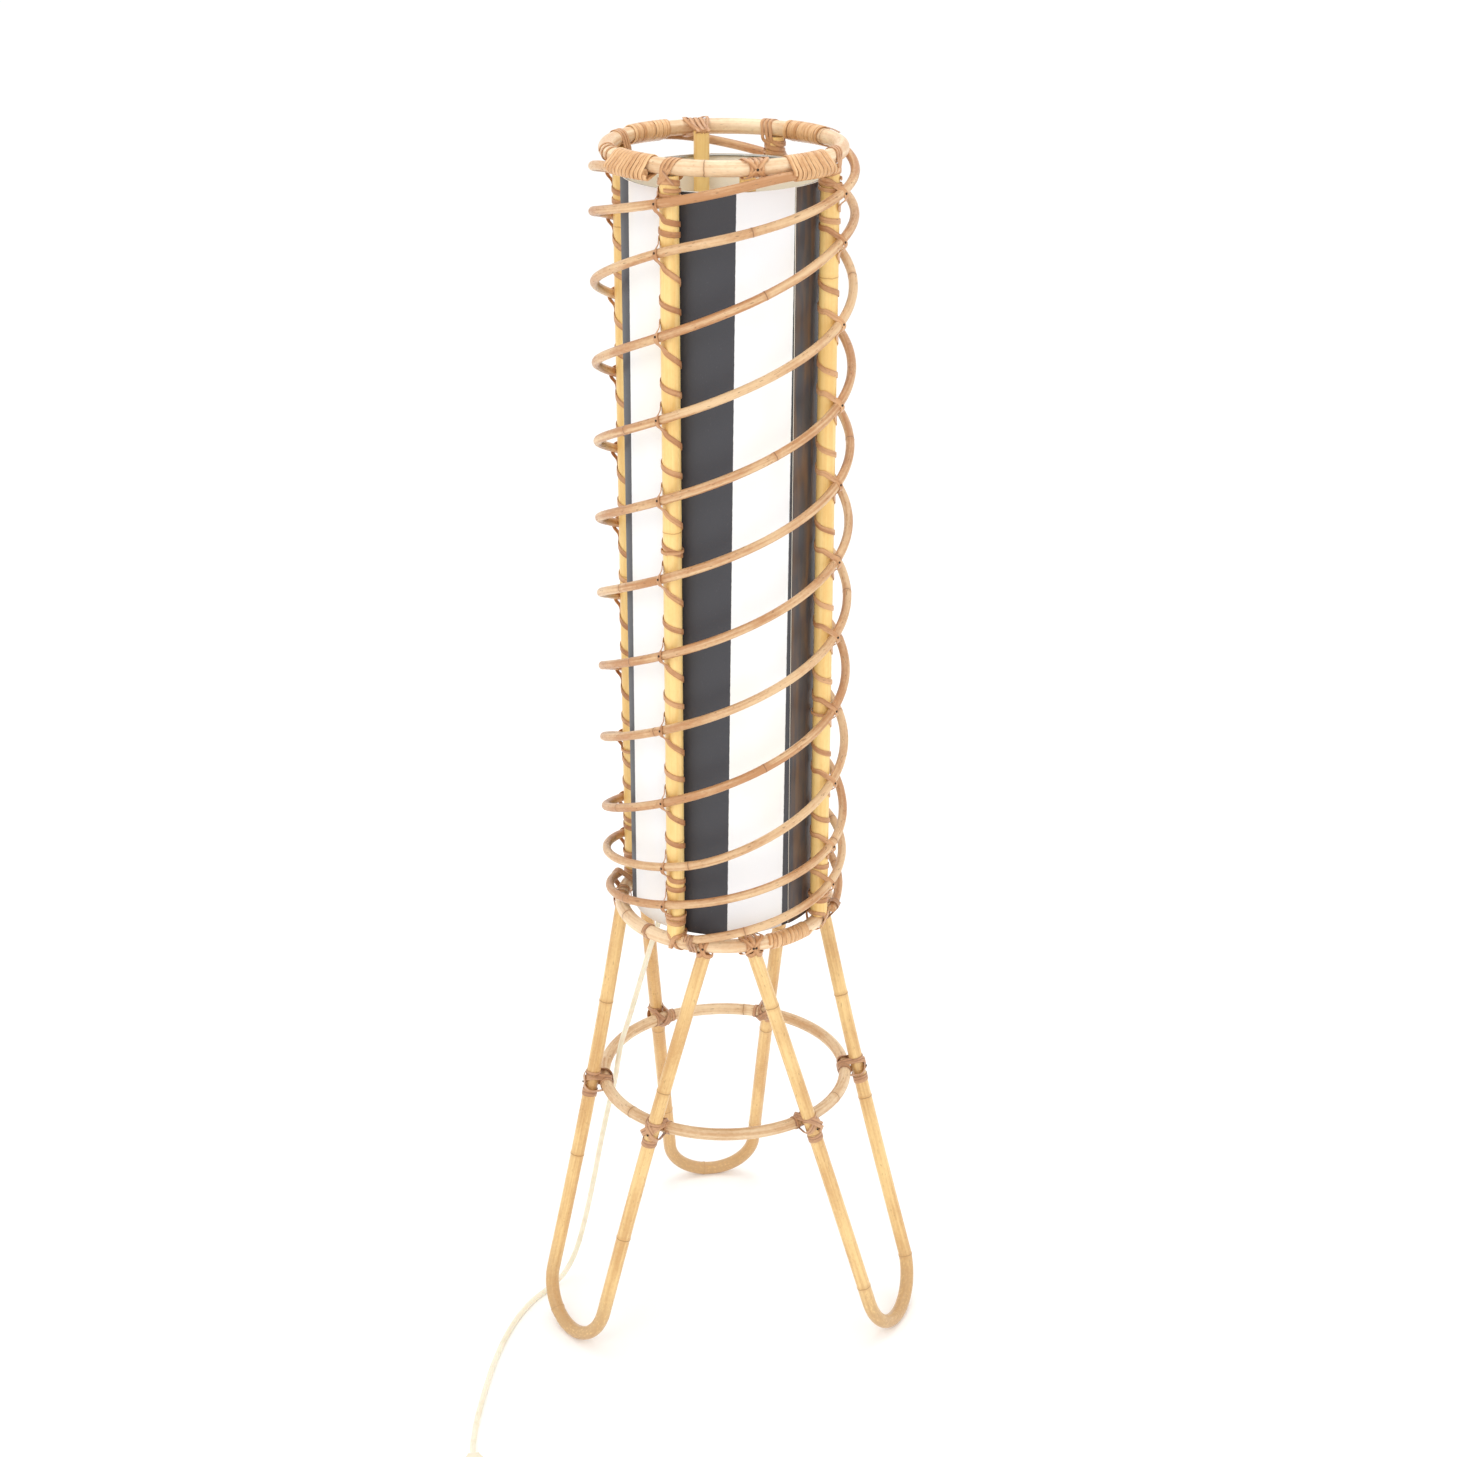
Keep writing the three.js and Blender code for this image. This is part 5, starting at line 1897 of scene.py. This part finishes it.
# How it winds on below that: degrees round the pole, and fall in mm between two rods that are FULL_GAP apart.
WINDING = ((0, 14), (90, 25), (180, 34), (270, 42), (360, 48), (450, 54), (540, 60.5), (585, 63.8))
WOUND_DOWN = 65.0
FULL_GAP, NO_GAP = 77.0, 26.8
LAST_GAP = 0.036
TURN_STEP = 30


@dataclass
class Bindings:
    """All the split cane: pole lashings, hoop wraps, stretcher ties and the small crossed joints.

    Attributes:
        bench: where they are made.
        rods: the rods that they bind.
        legs: the legs that they bind.
        width: the lashing strip's width.
        thick: its thickness.
        fine: the width of the finer strip in short wraps.
        level: the width of the strip in the poles' level turns and the inner poles' loops.
        cross: the width of the strip in the crossed joints.
        nails: the place and direction of each nail, gathered as the bindings are made.
        chance: the draws that make the turns uneven.
    """

    bench: Bench
    rods: Rods
    legs: Legs
    width: float = 0.0052
    thick: float = 0.0009
    fine: float = 0.0027
    level: float = 0.0034
    cross: float = 0.0044
    nails: list[tuple[Vector, Vector]] = field(default_factory=list)
    chance: random.Random = field(default_factory=lambda: random.Random(23))

    def lay(
        self,
        name: str,
        chains: Sequence[Chain],
        look: str,
        width: float,
        *nodes: str,
        thick: float = 0.0009,
        flat: float = 0.55,
    ) -> None:
        """Lays strips along chains and fixes them as one piece.

        Args:
            name: the piece's name.
            chains: the lines that the strips follow.
            look: the finish.
            width: the strips' width.
            *nodes: the frame's nodes that the piece stands for.
            thick: the strips' thickness.
            flat: how square their edges are, from 1 for round to 0.
        """
        self.bench.fix(self.bench.strips(name, chains, look, width, thick, flat), Slot.STRIP, *nodes)

    def lashing(self, azimuth: float) -> Chain:
        """Winds one long strip down a pole, over every rod and twice round between them.

        Args:
            azimuth: the pole's azimuth.

        Returns:
            The strip's chain.
        """
        s = SIZES
        base = s.post_cane + self.thick / 2 + 0.0003
        over = s.post_cane + s.gap + 2 * s.rod_cane + self.thick / 2 + 0.0011
        points, sides = [], []

        def add(turn: float, radius: float, z: float) -> None:
            """Adds one place to the strip.

            Args:
                turn: the turn round the pole.
                radius: its distance from the pole's axis.
                z: its height.
            """
            spoke = outward(azimuth) * math.cos(math.radians(turn)) + along(azimuth) * math.sin(math.radians(turn))
            points.append(self.bench.on(s.post_at, azimuth, z) + spoke * radius)
            sides.append(spoke)

        tops = [z - 0.0025 for z in self.rods.tops()]
        first_turn, fall_per_turn = CROSSING[0][0] - 5, 0.012
        for turn in range(-420, first_turn, TURN_STEP):
            rise = tops[0] + 0.012 + fall_per_turn * (first_turn - turn) / 360
            add(turn, base, min(rise, s.top_z - 0.012))
        start = WINDING[0][1]
        for index, top in enumerate(tops):
            for turn, share, rise in CROSSING:
                add(turn, base + (over - base) * share, top + rise * 0.001)
            spot = self.chance.uniform(-0.0005, 0.0005)
            self.nails.append((points[-5] + sides[-5] * (self.thick / 2) + UP * spot, sides[-5]))
            last = index + 1 == len(tops)
            gap = LAST_GAP if last else top - tops[index + 1]
            for turn in range(0, 541 if last else 631, TURN_STEP):
                fall = np.interp(turn, *zip(*WINDING)) if turn <= WINDING[-1][0] else WOUND_DOWN
                fall = start + (fall - start) * (gap * 1000 - NO_GAP) / (FULL_GAP - NO_GAP)
                add(turn, base, top - fall * 0.001)
        return eased(points, sides, fine=3)

    def wound(
        self, frame: Planes, canes: Canes, turns: int, slack: float = 0.0004, loose: float = 0.0
    ) -> Chain:
        """Winds a strip round canes, moving along as it goes.

        Args:
            frame: the plane across the canes at a share of the way along.
            canes: the canes seen end on.
            turns: how many turns the strip makes.
            slack: how far the strip's middle stands off the canes.
            loose: how unevenly the turns lie.

        Returns:
            The strip's chain.
        """
        line = taut(canes, slack + self.thick / 2)
        count = len(line)
        points, sides = [], []
        drift = 0.0
        for k in range(turns * count + 1):
            if k % count == 0:
                drift = self.chance.uniform(-loose, loose)
            spot, way = line[k % count]
            lift = drift * math.sin(math.pi * (k % count) / count)
            origin, across, up = frame(min(1.0, max(0.0, k / (turns * count) + lift)))
            points.append(origin + across * spot.x + up * spot.y)
            sides.append((across * way.x + up * way.y).normalized())
        return Chain(points, sides)

    def on_hoop(self, radius: float, z: float, start: float, end: float) -> Planes:
        """Sets out the planes across a hoop, for winding.

        Args:
            radius: the hoop's centreline radius.
            z: its height.
            start: the azimuth of the first plane.
            end: the azimuth of the last plane.

        Returns:
            The planes.
        """

        def frame(share: float) -> Plane:
            """Returns one plane."""
            azimuth = start + (end - start) * share
            return self.bench.on(radius, azimuth, z), outward(azimuth), UP

        return frame

    def round_pole(self, azimuth: float, z: float, fall: float) -> Planes:
        """Returns the planes across an outer pole, from a height down, for winding."""
        out, side = outward(azimuth), along(azimuth)
        return lambda share: (self.bench.on(SIZES.post_at, azimuth, z - share * fall), out, side)

    def round_leg(self, strand: Strand, leg: Vector, near: float, far: float, across: Vector) -> Planes:
        """Returns the planes across a leg strand, for winding.

        Args:
            strand: the strand.
            leg: its place at the stretcher's height.
            near: how far down the strand from there the first plane is.
            far: the same for the last plane.
            across: the level direction square to the strand.

        Returns:
            The planes.
        """
        fall = (strand.low - strand.high).normalized()
        level = strand.at_height(SIZES.stretcher_z)

        def frame(share: float) -> Plane:
            """Returns one plane."""
            lift = strand.at_height(SIZES.stretcher_z + (near + (far - near) * share) * fall.z) - level
            return leg + lift, across, fall.cross(across)

        return frame

    def wraps(self) -> None:
        """Makes the wide wraps that bind each rod's upper end to the upper hoop."""
        s, half, turns = SIZES, 12.5, 11
        turn = self.rods.turn - half
        rod = (self.rods.radius(turn) - s.top_ring, self.rods.height(turn) - s.top_z, s.rod_cane)
        wide = math.radians(2 * half) * s.top_ring / turns * 0.97
        for index, name in enumerate(SIDES):
            middle = s.post_azimuth + 90 * index - 20
            frame = self.on_hoop(s.top_ring, s.top_z, middle - half, middle + half)
            chain = self.wound(frame, [(0, 0, s.top_cane), rod], turns, 0.0006, 0.015)
            self.lay(f"wide_wrap_{name}", [chain], "wrap", wide, f"wrap_{name}", thick=0.0014, flat=0.85)

    def foot_wraps(self) -> None:
        """Makes the short wraps at the rods' lower ends, and the plain wraps on both hoops."""
        s = SIZES
        rod = (self.rods.radius(3) - s.bottom_ring, self.rods.height(3) - s.bottom_z, s.rod_cane)
        for index in range(4):
            start = self.rods.start(index)
            frame = self.on_hoop(s.bottom_ring, s.bottom_z, start + 1.8, start + 6.4)
            chain = self.wound(frame, [(0, 0, s.bottom_cane), rod], 3, 0.0006, 0.02)
            self.lay(f"short_wrap_{index + 1}", [chain], "tie", self.fine, f"foot_wrap_{index + 1}")
        turns, start, end = 10, 25, 51
        frame = self.on_hoop(s.bottom_ring, s.bottom_z, start, end)
        chain = self.wound(frame, [(0, 0, s.bottom_cane)], turns, 0.0001, 0.015)
        wide = math.radians(end - start) * s.bottom_ring / turns * 0.97
        self.lay("lower_hoop_wrap", [chain], "wrap", wide, thick=0.0014, flat=0.85)
        chain = self.wound(self.on_hoop(s.bottom_ring, s.bottom_z, -46, -43.5), [(0, 0, s.bottom_cane)], 2, 0.0001)
        self.lay("lower_hoop_band", [chain], "tie", self.fine)
        chain = self.wound(self.on_hoop(s.top_ring, s.top_z, -78, -61), [(0, 0, s.top_cane)], 3, 0.0001)
        self.lay("upper_hoop_turns", [chain], "strip", self.level)

    def ties(self) -> None:
        """Makes the crossed ties that bind each leg strand to the outside of the stretcher."""
        s = SIZES
        for strand in self.legs.strands:
            level = strand.at_height(s.stretcher_z)
            azimuth = math.degrees(math.atan2(level.x, -level.y))
            ring = self.bench.on(s.stretcher_ring, azimuth, s.stretcher_z)
            leg = self.bench.on(self.legs.strand_at, azimuth, s.stretcher_z)
            fall, lie = (strand.low - strand.high).normalized(), along(azimuth)
            across = lie.cross(fall).normalized()
            chains = []
            for near, far in ((-5.2, -4.0), (4.0, 5.2)):
                frame = self.on_hoop(s.stretcher_ring, s.stretcher_z, azimuth + near, azimuth + far)
                chains.append(self.wound(frame, [(0, 0, s.stretcher_cane)], 1, 0.0001))
            for near, far, turns in ((-0.0112, -0.0088, 1), (0.0088, 0.0162, 2)):
                frame = self.round_leg(strand, leg, near, far, across)
                chains.append(self.wound(frame, [(0, 0, s.leg_cane)], turns, 0.0001))
            chains += [self.slanted(ring, leg, (fall + lie * lean).normalized(), fall, lie, lean) for lean in (1, -1)]
            name, node = f"crossed_tie_{strand.name}", f"tie_{strand.name}"
            self.lay(name, chains, "tie", 0.0039, node, thick=0.0008, flat=0.75)
            self.nails.append((leg + outward(azimuth) * (s.leg_cane + 0.0022), outward(azimuth)))

    def slanted(self, ring: Vector, leg: Vector, axis: Vector, fall: Vector, lie: Vector, lean: int) -> Chain:
        """Winds one half of a crossed tie slantwise round the stretcher and a leg.

        Args:
            ring: the stretcher's middle.
            leg: the leg's middle beside it.
            axis: the direction that the strip winds about.
            fall: the leg's direction.
            lie: the stretcher's direction.
            lean: which of the two halves it is, 1 or -1.

        Returns:
            The strip's chain.
        """
        s, least, length = SIZES, 0.6, 0.0066
        out = leg - ring
        out = (out - axis * out.dot(axis)).normalized()
        up = axis.cross(out)
        reach = (leg - ring).dot(out)
        ring_fat = s.stretcher_cane * (1 / max(least, abs(lie.dot(axis))) - 1)
        leg_fat = s.leg_cane * (1 / max(least, abs(fall.dot(axis))) - 1)
        canes = [(0, y * ring_fat, s.stretcher_cane) for y in (-1, 0, 1)]
        canes += [(reach, y * leg_fat, s.leg_cane) for y in (-1, 0, 1)]
        return self.wound(
            lambda share: (ring + axis * ((share - 0.5) * length), out, up), canes, 2, 0.0003 if lean == 1 else 0.0012
        )

    def crossed(
        self, radius: float, azimuth: float, z: float, way: int, hoop: float, pole: float, leans: Leans, reach: float
    ) -> list[Chain]:
        """Binds a pole's end to the hoop that it stands on or hangs from.

        Args:
            radius: the hoop's centreline radius.
            azimuth: the joint's azimuth.
            z: the hoop's height.
            way: 1 where the pole is above the hoop, -1 below it.
            hoop: the hoop's cane radius.
            pole: the pole's radius.
            leans: the lean and the sideways shift of each turn.
            reach: how far past the hoop the strip goes along the pole.

        Returns:
            One closed chain for each turn.
        """
        out, side, up = outward(azimuth), along(azimuth), UP * way
        middle = self.bench.on(radius, azimuth, z)
        chains = []
        for lean, shift in leans:
            off = self.thick / 2 + (0.0002 if lean > 0 else 0.0011)
            ring, post = hoop + off, pole + off
            far = hoop + reach + abs(shift) * 0.4
            # Six places round the hoop, then four round the pole: outward, sideways, up, and which way is out.
            corners = [
                (ring, lean * 0.15 * pole, 0.0, 1, 0, 0),
                (ring * 0.72, lean * 0.45 * pole, -ring * 0.72, 0.7, 0, -0.7),
                (0.0, lean * 0.7 * pole, -ring, 0, 0, -1),
                (-ring * 0.72, lean * 0.75 * pole, -ring * 0.72, -0.7, 0, -0.7),
                (-ring, lean * 0.6 * pole, 0.0, -1, 0, 0),
                (-post * 0.99, lean * 0.3 * post, far * 0.75, -1, 0, 0),
                (-post * 0.7, -lean * 0.72 * post, far * 1.02, -0.7, -lean * 0.7, 0),
                (0.0, -lean * post, far * 1.06, 0, -lean, 0),
                (post * 0.7, -lean * 0.72 * post, far * 1.0, 0.7, -lean * 0.7, 0),
                (post * 0.99, -lean * 0.25 * post, far * 0.78, 1, 0, 0),
            ]
            slid = [shift if index < 6 else shift * 0.2 for index in range(len(corners))]
            points = [middle + out * o + side * (d + move) + up * u for (o, d, u, *_), move in zip(corners, slid)]
            sides = [(out * a + side * b + up * c).normalized() for *_, a, b, c in corners]
            chains.append(eased(points, sides, closed=True, fine=6))
        return chains

    def joints(self) -> None:
        """Makes the crossed bindings at both ends of every pole and at the top of every leg."""
        s = SIZES
        fan, cross = [(1, -0.0042), (1, 0.0), (1, 0.0042)], [(1, 0.0), (-1, 0.0)]
        tops, feet, legs = [], [], []
        for index, height in enumerate((0.8865, 0.703, 0.94, 0.62)):
            azimuth = s.post_azimuth + 90 * index
            tops += self.crossed(s.top_ring, azimuth, s.top_z, -1, s.top_cane, s.post_cane, fan, 0.005)
            feet += self.crossed(s.bottom_ring, azimuth, s.bottom_z, 1, s.bottom_cane, s.post_cane, cross, 0.0035)
            for z, turns, fall in ((1.2235, 2, 0.0104), (height, 1, 0.001), (0.5035, 1, 0.001)):
                frame = self.round_pole(azimuth, z, fall)
                tops.append(self.wound(frame, [(0, 0, s.post_cane)], turns, 0.0012))
        for strand in self.legs.strands:
            azimuth = math.degrees(math.atan2(strand.high.x, -strand.high.y))
            legs += self.crossed(s.bottom_ring, azimuth, s.bottom_z, -1, s.bottom_cane, s.leg_cane, cross, 0.0022)
            spot = self.bench.on(s.bottom_ring + s.bottom_cane + 0.0021, azimuth, s.bottom_z)
            self.nails.append((spot, outward(azimuth)))
        self.lay("pole_top_turns", tops, "strip", self.level)
        self.lay("pole_foot_turns", feet, "strip", self.cross)
        self.lay("leg_top_turns", legs, "strip", self.cross)

    def stays(self) -> None:
        """Makes the long loops that bind the inner poles to both hoops."""
        s = SIZES
        off = 0.0008
        chains = []
        hoops = ((s.top_ring, s.top_cane, s.top_z), (s.bottom_ring, s.bottom_cane, s.bottom_z))
        for azimuth in (s.stay_azimuth, s.stay_azimuth + 180):
            out, side = outward(azimuth), along(azimuth)
            for radius, cane, z in hoops:
                middle = self.bench.on(radius, azimuth, z)
                inner = s.stay_at - radius - s.stay_cane - off
                spread = s.stay_cane + 0.0006
                for lean, shift in ((0, -0.005), (0, 0.0), (0, 0.005), (1, 0.0), (-1, 0.0)):
                    fat = cane + off + (off if lean else 0.0)
                    # Over the hoop, along one side of the pole, round its back and home: as in crossed().
                    corners = [
                        (fat, 0.0, 0.0, 1, 0, 0),
                        (fat * 0.7, lean * 0.006, fat * 0.7, 0.7, 0, 0.7),
                        (0.0, lean * 0.011, fat, 0, 0, 1),
                        (-0.016, lean * spread, 0.0045, 0, lean or 0.01, 0.6),
                        (inner, lean * 0.002, 0.001, -1, 0, 0),
                        (-0.016, -lean * spread, -0.0045, 0, -lean or 0.01, -0.6),
                        (0.0, -lean * 0.011, -fat, 0, 0, -1),
                        (fat * 0.7, -lean * 0.006, -fat * 0.7, 0.7, 0, -0.7),
                    ]
                    points = [middle + out * o + side * (d + shift) + UP * u for o, d, u, *_ in corners]
                    sides = [(out * a + side * b + UP * c).normalized() for *_, a, b, c in corners]
                    chains.append(eased(points, sides, closed=True, fine=8))
                self.nails.append((middle + out * (cane + 0.0022), out))
        self.lay("inner_pole_turns", chains, "strip", 0.0036)

    def frayed(self) -> None:
        """Makes the loose ends: a curled tip by the first pole and a peeled strip on the rear of the hoop."""
        # How far out of the hoop's middle, the azimuth, and how far above it.
        curl = (
            (0.0085, -27, -0.003), (0.0112, -24.5, -0.0062), (0.0116, -22.5, -0.0105), (0.0098, -21.2, -0.0138),
        )
        peel = (
            (0.0008, 146, 0.0078), (0.001, 134, 0.0079), (0.0022, 124, 0.0079), (0.0042, 116, 0.0074),
            (0.0066, 111, 0.0058),
        )
        ends = []
        for places, side in ((curl, outward(-24)), (peel, UP)):
            points = [self.bench.on(SIZES.top_ring + r, a, SIZES.top_z + z) for r, a, z in places]
            ends.append(eased(points, [side] * len(points), fine=5))
        self.lay("loose_ends", ends, "tie", 0.0026, thick=0.0007)

    def build(self) -> None:
        """Makes every binding and then the nails that hold them."""
        tones = (0.1, -0.1, 0.0, 0.2)
        for index, name in enumerate(SIDES):
            chain = self.lashing(SIZES.post_azimuth + 90 * index)
            chain.tone = tones[index]
            self.lay(f"pole_lashing_{name}", [chain], "strip", self.width, f"lashing_{name}", thick=self.thick)
        self.wraps()
        self.foot_wraps()
        self.ties()
        self.joints()
        self.stays()
        self.frayed()
        chains = [Chain([place], [way]) for place, way in self.nails]
        nails = self.bench.grown("nail_heads", chains, self.bench.nail, "nail", Head_Radius=0.0013, Dome=0.5)
        self.bench.fix(nails, Slot.STEEL)


# ---- Shade and lampholder ------------------------------------------------------------------------------


@dataclass
class Shade:
    """The striped sheet cylinder, lapped at its seam, on its two wire hoops.

    Attributes:
        bench: where it is made.
        wall: the sheet's thickness.
        low: its lower edge.
        high: its upper edge.
        seam: the azimuth of the outer flap's edge.
        lap: how far the sheet runs on beneath itself.
        first: the azimuth at which the first dark stripe starts.
        stripe: the width of a stripe.
        drift: how far the stripes lean over the whole height.
    """

    bench: Bench
    wall: float = 0.0009
    low: float = SIZES.bottom_z + 0.0065
    high: float = SIZES.top_z - 0.0235
    seam: float = 43.5
    lap: float = 7.0
    first: float = 41.0
    stripe: float = 36.0
    drift: float = 5.0

    def build(self) -> None:
        """Makes the sheet and its wire hoops."""
        columns, rows = 244, 30
        shape = bmesh.new()
        grid: dict[tuple[int, int, int], bmesh.types.BMVert] = {}
        facts: dict[bmesh.types.BMVert, tuple[float, float]] = {}
        for i in range(columns + 1):
            azimuth = self.seam + (360 + self.lap) * i / columns
            tuck = smoothstep(azimuth, self.seam + 318, self.seam + 352)
            for j in range(rows + 1):
                share = j / rows
                z = self.low + (self.high - self.low) * share
                ripple = 0.00022 * math.sin(math.radians(azimuth) * 5 + share * 4) - 0.0001
                outer = SIZES.shade_radius - 0.0004 - (self.wall + 0.0002) * tuck + ripple * (1 - tuck)
                count = (azimuth - self.first - self.drift * (share - 0.5)) / self.stripe
                for layer, radius in enumerate((outer, outer - self.wall)):
                    vertex = shape.verts.new(self.bench.on(radius, azimuth, z))
                    grid[i, j, layer] = vertex
                    facts[vertex] = (count, z - self.low)
        quads = []
        for i in range(columns):
            for j in range(rows):
                outside = [grid[i, j, 0], grid[i + 1, j, 0], grid[i + 1, j + 1, 0], grid[i, j + 1, 0]]
                inside = [grid[i, j, 1], grid[i, j + 1, 1], grid[i + 1, j + 1, 1], grid[i + 1, j, 1]]
                quads += [(outside, 0.0), (inside, 1.0)]
        for i in range(columns):
            quads.append(([grid[i, 0, 0], grid[i, 0, 1], grid[i + 1, 0, 1], grid[i + 1, 0, 0]], 1.0))
            quads.append(([grid[i, rows, 0], grid[i + 1, rows, 0], grid[i + 1, rows, 1], grid[i, rows, 1]], 1.0))
        for j in range(rows):
            quads.append(([grid[0, j, 0], grid[0, j + 1, 0], grid[0, j + 1, 1], grid[0, j, 1]], 1.0))
            end = [grid[columns, j, 0], grid[columns, j, 1], grid[columns, j + 1, 1], grid[columns, j + 1, 0]]
            quads.append((end, 1.0))
        for corners, _ in quads:
            shape.faces.new(corners)
        shape.verts.index_update()
        order = {vertex.index: facts[vertex] for vertex in shape.verts}
        mesh = bpy.data.meshes.new("shade")
        shape.to_mesh(mesh)
        shape.free()
        note = mesh.attributes.new("sheet", "FLOAT_VECTOR", "CORNER")
        for face, (_, side) in zip(mesh.polygons, quads):
            face.use_smooth = True
            for loop in face.loop_indices:
                note.data[loop].vector = (*order[mesh.loops[loop].vertex_index], side)
        mesh.set_sharp_from_angle(angle=math.radians(40))
        self.bench.fix(self.bench.stand("shade_sheet", mesh, "sheet"), Slot.SHEET, "shade_tube")
        wire = 0.0012
        radius = SIZES.shade_radius - self.wall - 2 * SIZES.gap - wire - 0.0004
        azimuths = [3 * k for k in range(120)]
        sides = [outward(a) for a in azimuths]
        for name, z in (("top", self.high - wire), ("bottom", self.low + wire + SIZES.gap)):
            chain = Chain([self.bench.on(radius, a, z) for a in azimuths], sides, wire, closed=True)
            piece = self.bench.canes(f"wire_hoop_{name}", [chain], "steel", 0.004, Sides=12, Unevenness=0.0)
            self.bench.fix(piece, Slot.STEEL, f"shade_wire_{name}")


BRASS_FITTINGS = (
    "strap_screw_front", "strap_screw_rear", "nipple", "lock_nut", "shade_peg_front", "shade_peg_rear",
)


@dataclass
class Holder:
    """The lampholder on its cross strap, with the bulb.

    Attributes:
        bench: where it is made.
        strap_z: the strap's underside.
        radius: the holder's radius.
        ribs: how many grip ribs the shell has.
    """

    bench: Bench
    strap_z: float = 0.66
    radius: float = 0.02
    ribs: int = 36

    def strap(self) -> None:
        """Makes the bent strap with its rounded edges and bore."""
        middle = Matrix.Translation(self.bench.axis + UP * self.strap_z)
        place = middle @ Matrix.Rotation(math.radians(SIZES.stay_azimuth - 90), 4, "Z")
        reach = SIZES.stay_at - SIZES.stay_cane - SIZES.gap
        thick, tall, bend = 0.002, 0.024, 0.004
        outer = [(-reach, tall), (-reach, bend), (-reach + bend * 0.29, bend * 0.29), (-reach + bend, 0.0)]
        outer += [(-x, z) for x, z in reversed(outer)]
        within = reach - thick
        inner = [(within, tall), (within, bend), (within - bend * 0.15, thick + bend * 0.15), (reach - bend, thick)]
        inner += [(-x, z) for x, z in reversed(inner)]
        upright = place @ Matrix.Rotation(math.radians(90), 4, "X")
        bore = self.bench.prism("bore", ring(0.0053, 36), -0.02, 0.02, place, "steel", 0.0001)
        piece = self.bench.prism("holder_strap", outer + inner, -0.008, 0.008, upright, "steel", 0.0004, [bore])
        self.bench.fix(piece, Slot.STEEL, "cross_strap")

    def shell(self) -> None:
        """Turns the holder's cap and body, with ribs round the body."""
        low, high = (c.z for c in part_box("holder_cap"))
        r = self.radius
        profile = [(0.0055, low), (0.0115, low), (0.0135, low + 0.0008), (0.0165, low + 0.0042)]
        profile += [(0.0188, low + 0.0095), (r, low + 0.0165), (r, high), (r - 0.0025, high)]
        profile += [(r - 0.0025, high - 0.008), (0.0055, low + 0.006)]
        self.bench.fix(self.bench.turned("holder_shell_cap", profile, "ivory", 64, 0.0004), Slot.HOLDER, "holder_cap")
        low, high = (c.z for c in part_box("holder_body"))
        body = [(0.0, low), (r, low), (r, high - 0.0092), (r + 0.0025, high - 0.0082)]
        body += [(r + 0.0025, high - 0.0048), (r - 0.001, high - 0.0038), (r - 0.001, high)]
        body += [(0.0152, high), (0.0152, low + 0.004), (0.0, low + 0.004)]
        self.bench.fix(self.bench.turned("holder_shell", body, "ivory", 72, 0.0004), Slot.HOLDER, "holder_body")
        chains = []
        for index in range(self.ribs):
            azimuth = 360 * index / self.ribs
            ends = [self.bench.on(r + 0.0001, azimuth, z) for z in (low + 0.003, high - 0.0115)]
            chains.append(Chain(ends, [outward(azimuth)] * 2, girth=0.0006))
        ribs = self.bench.canes("holder_ribs", chains, "ivory", 0.004, Sides=8, Unevenness=0.0)
        self.bench.fix(ribs, Slot.HOLDER)

    def bulb(self) -> None:
        """Turns the bulb's threaded cap and its opal glass."""
        low, high = (c.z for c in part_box("bulb_cap"))
        outline = [(0.0, low), (0.0048, low), (0.0062, low + 0.0022), (0.0105, low + 0.0052)]
        threads = 5
        pitch = (high - low - 0.0085) / threads
        for index in range(threads):
            z = low + 0.0062 + index * pitch
            for radius, share in ((0.0119, 0.0), (0.0131, 0.3), (0.0131, 0.55), (0.0119, 0.85)):
                outline.append((radius, z + pitch * share))
        outline += [(0.0128, high - 0.0018), (0.0128, high), (0.0, high)]
        cap = self.bench.turned("threaded_cap", outline, "brass", 56, 0.0003)
        self.bench.fix(cap, Slot.BRASS, "bulb_cap", body=Body.BULB)
        low, high = (c.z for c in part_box("bulb_glass"))
        ball = 0.03
        middle = high - ball
        glass = [(0.0, low), (0.0127, low), (0.0128, low + 0.004), (0.0138, low + 0.009), (0.0165, low + 0.0165)]
        for degrees in range(-44, 90, 5):
            turn = math.radians(degrees)
            glass.append((ball * math.cos(turn), middle + ball * math.sin(turn)))
        glass.append((0.0, high))
        bulb = self.bench.turned("opal_bulb", glass, "opal", 64, 0.0)
        self.bench.fix(bulb, Slot.GLASS, "bulb_glass", body=Body.BULB)

    def build(self) -> None:
        """Makes the strap, the holder and the bulb, and dresses the small fittings of the frame."""
        self.strap()
        self.shell()
        self.bulb()
        for node in BRASS_FITTINGS:
            fitting = self.bench.frame["nodes"][node]
            fitting.data.materials.clear()
            fitting.data.materials.append(self.bench.finish["brass"])
            LOG.info("%s: dressed in brass", node)


def main() -> None:
    """Builds the lamp in order."""
    logging.basicConfig(level=logging.INFO, format="%(name)s: %(message)s", stream=sys.stdout)
    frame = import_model()
    studio = Studio()
    studio.camera()
    bench = Bench(frame)
    Lead(bench).build()
    Cage(bench).build()
    rods = Rods(bench)
    rods.build()
    legs = Legs(bench)
    legs.build()
    Bindings(bench, rods, legs).build()
    Shade(bench).build()
    Holder(bench).build()
    studio.light()
    studio.floor()
    LOG.info("%d pieces", bench.count)


if __name__ == "__main__":
    main()
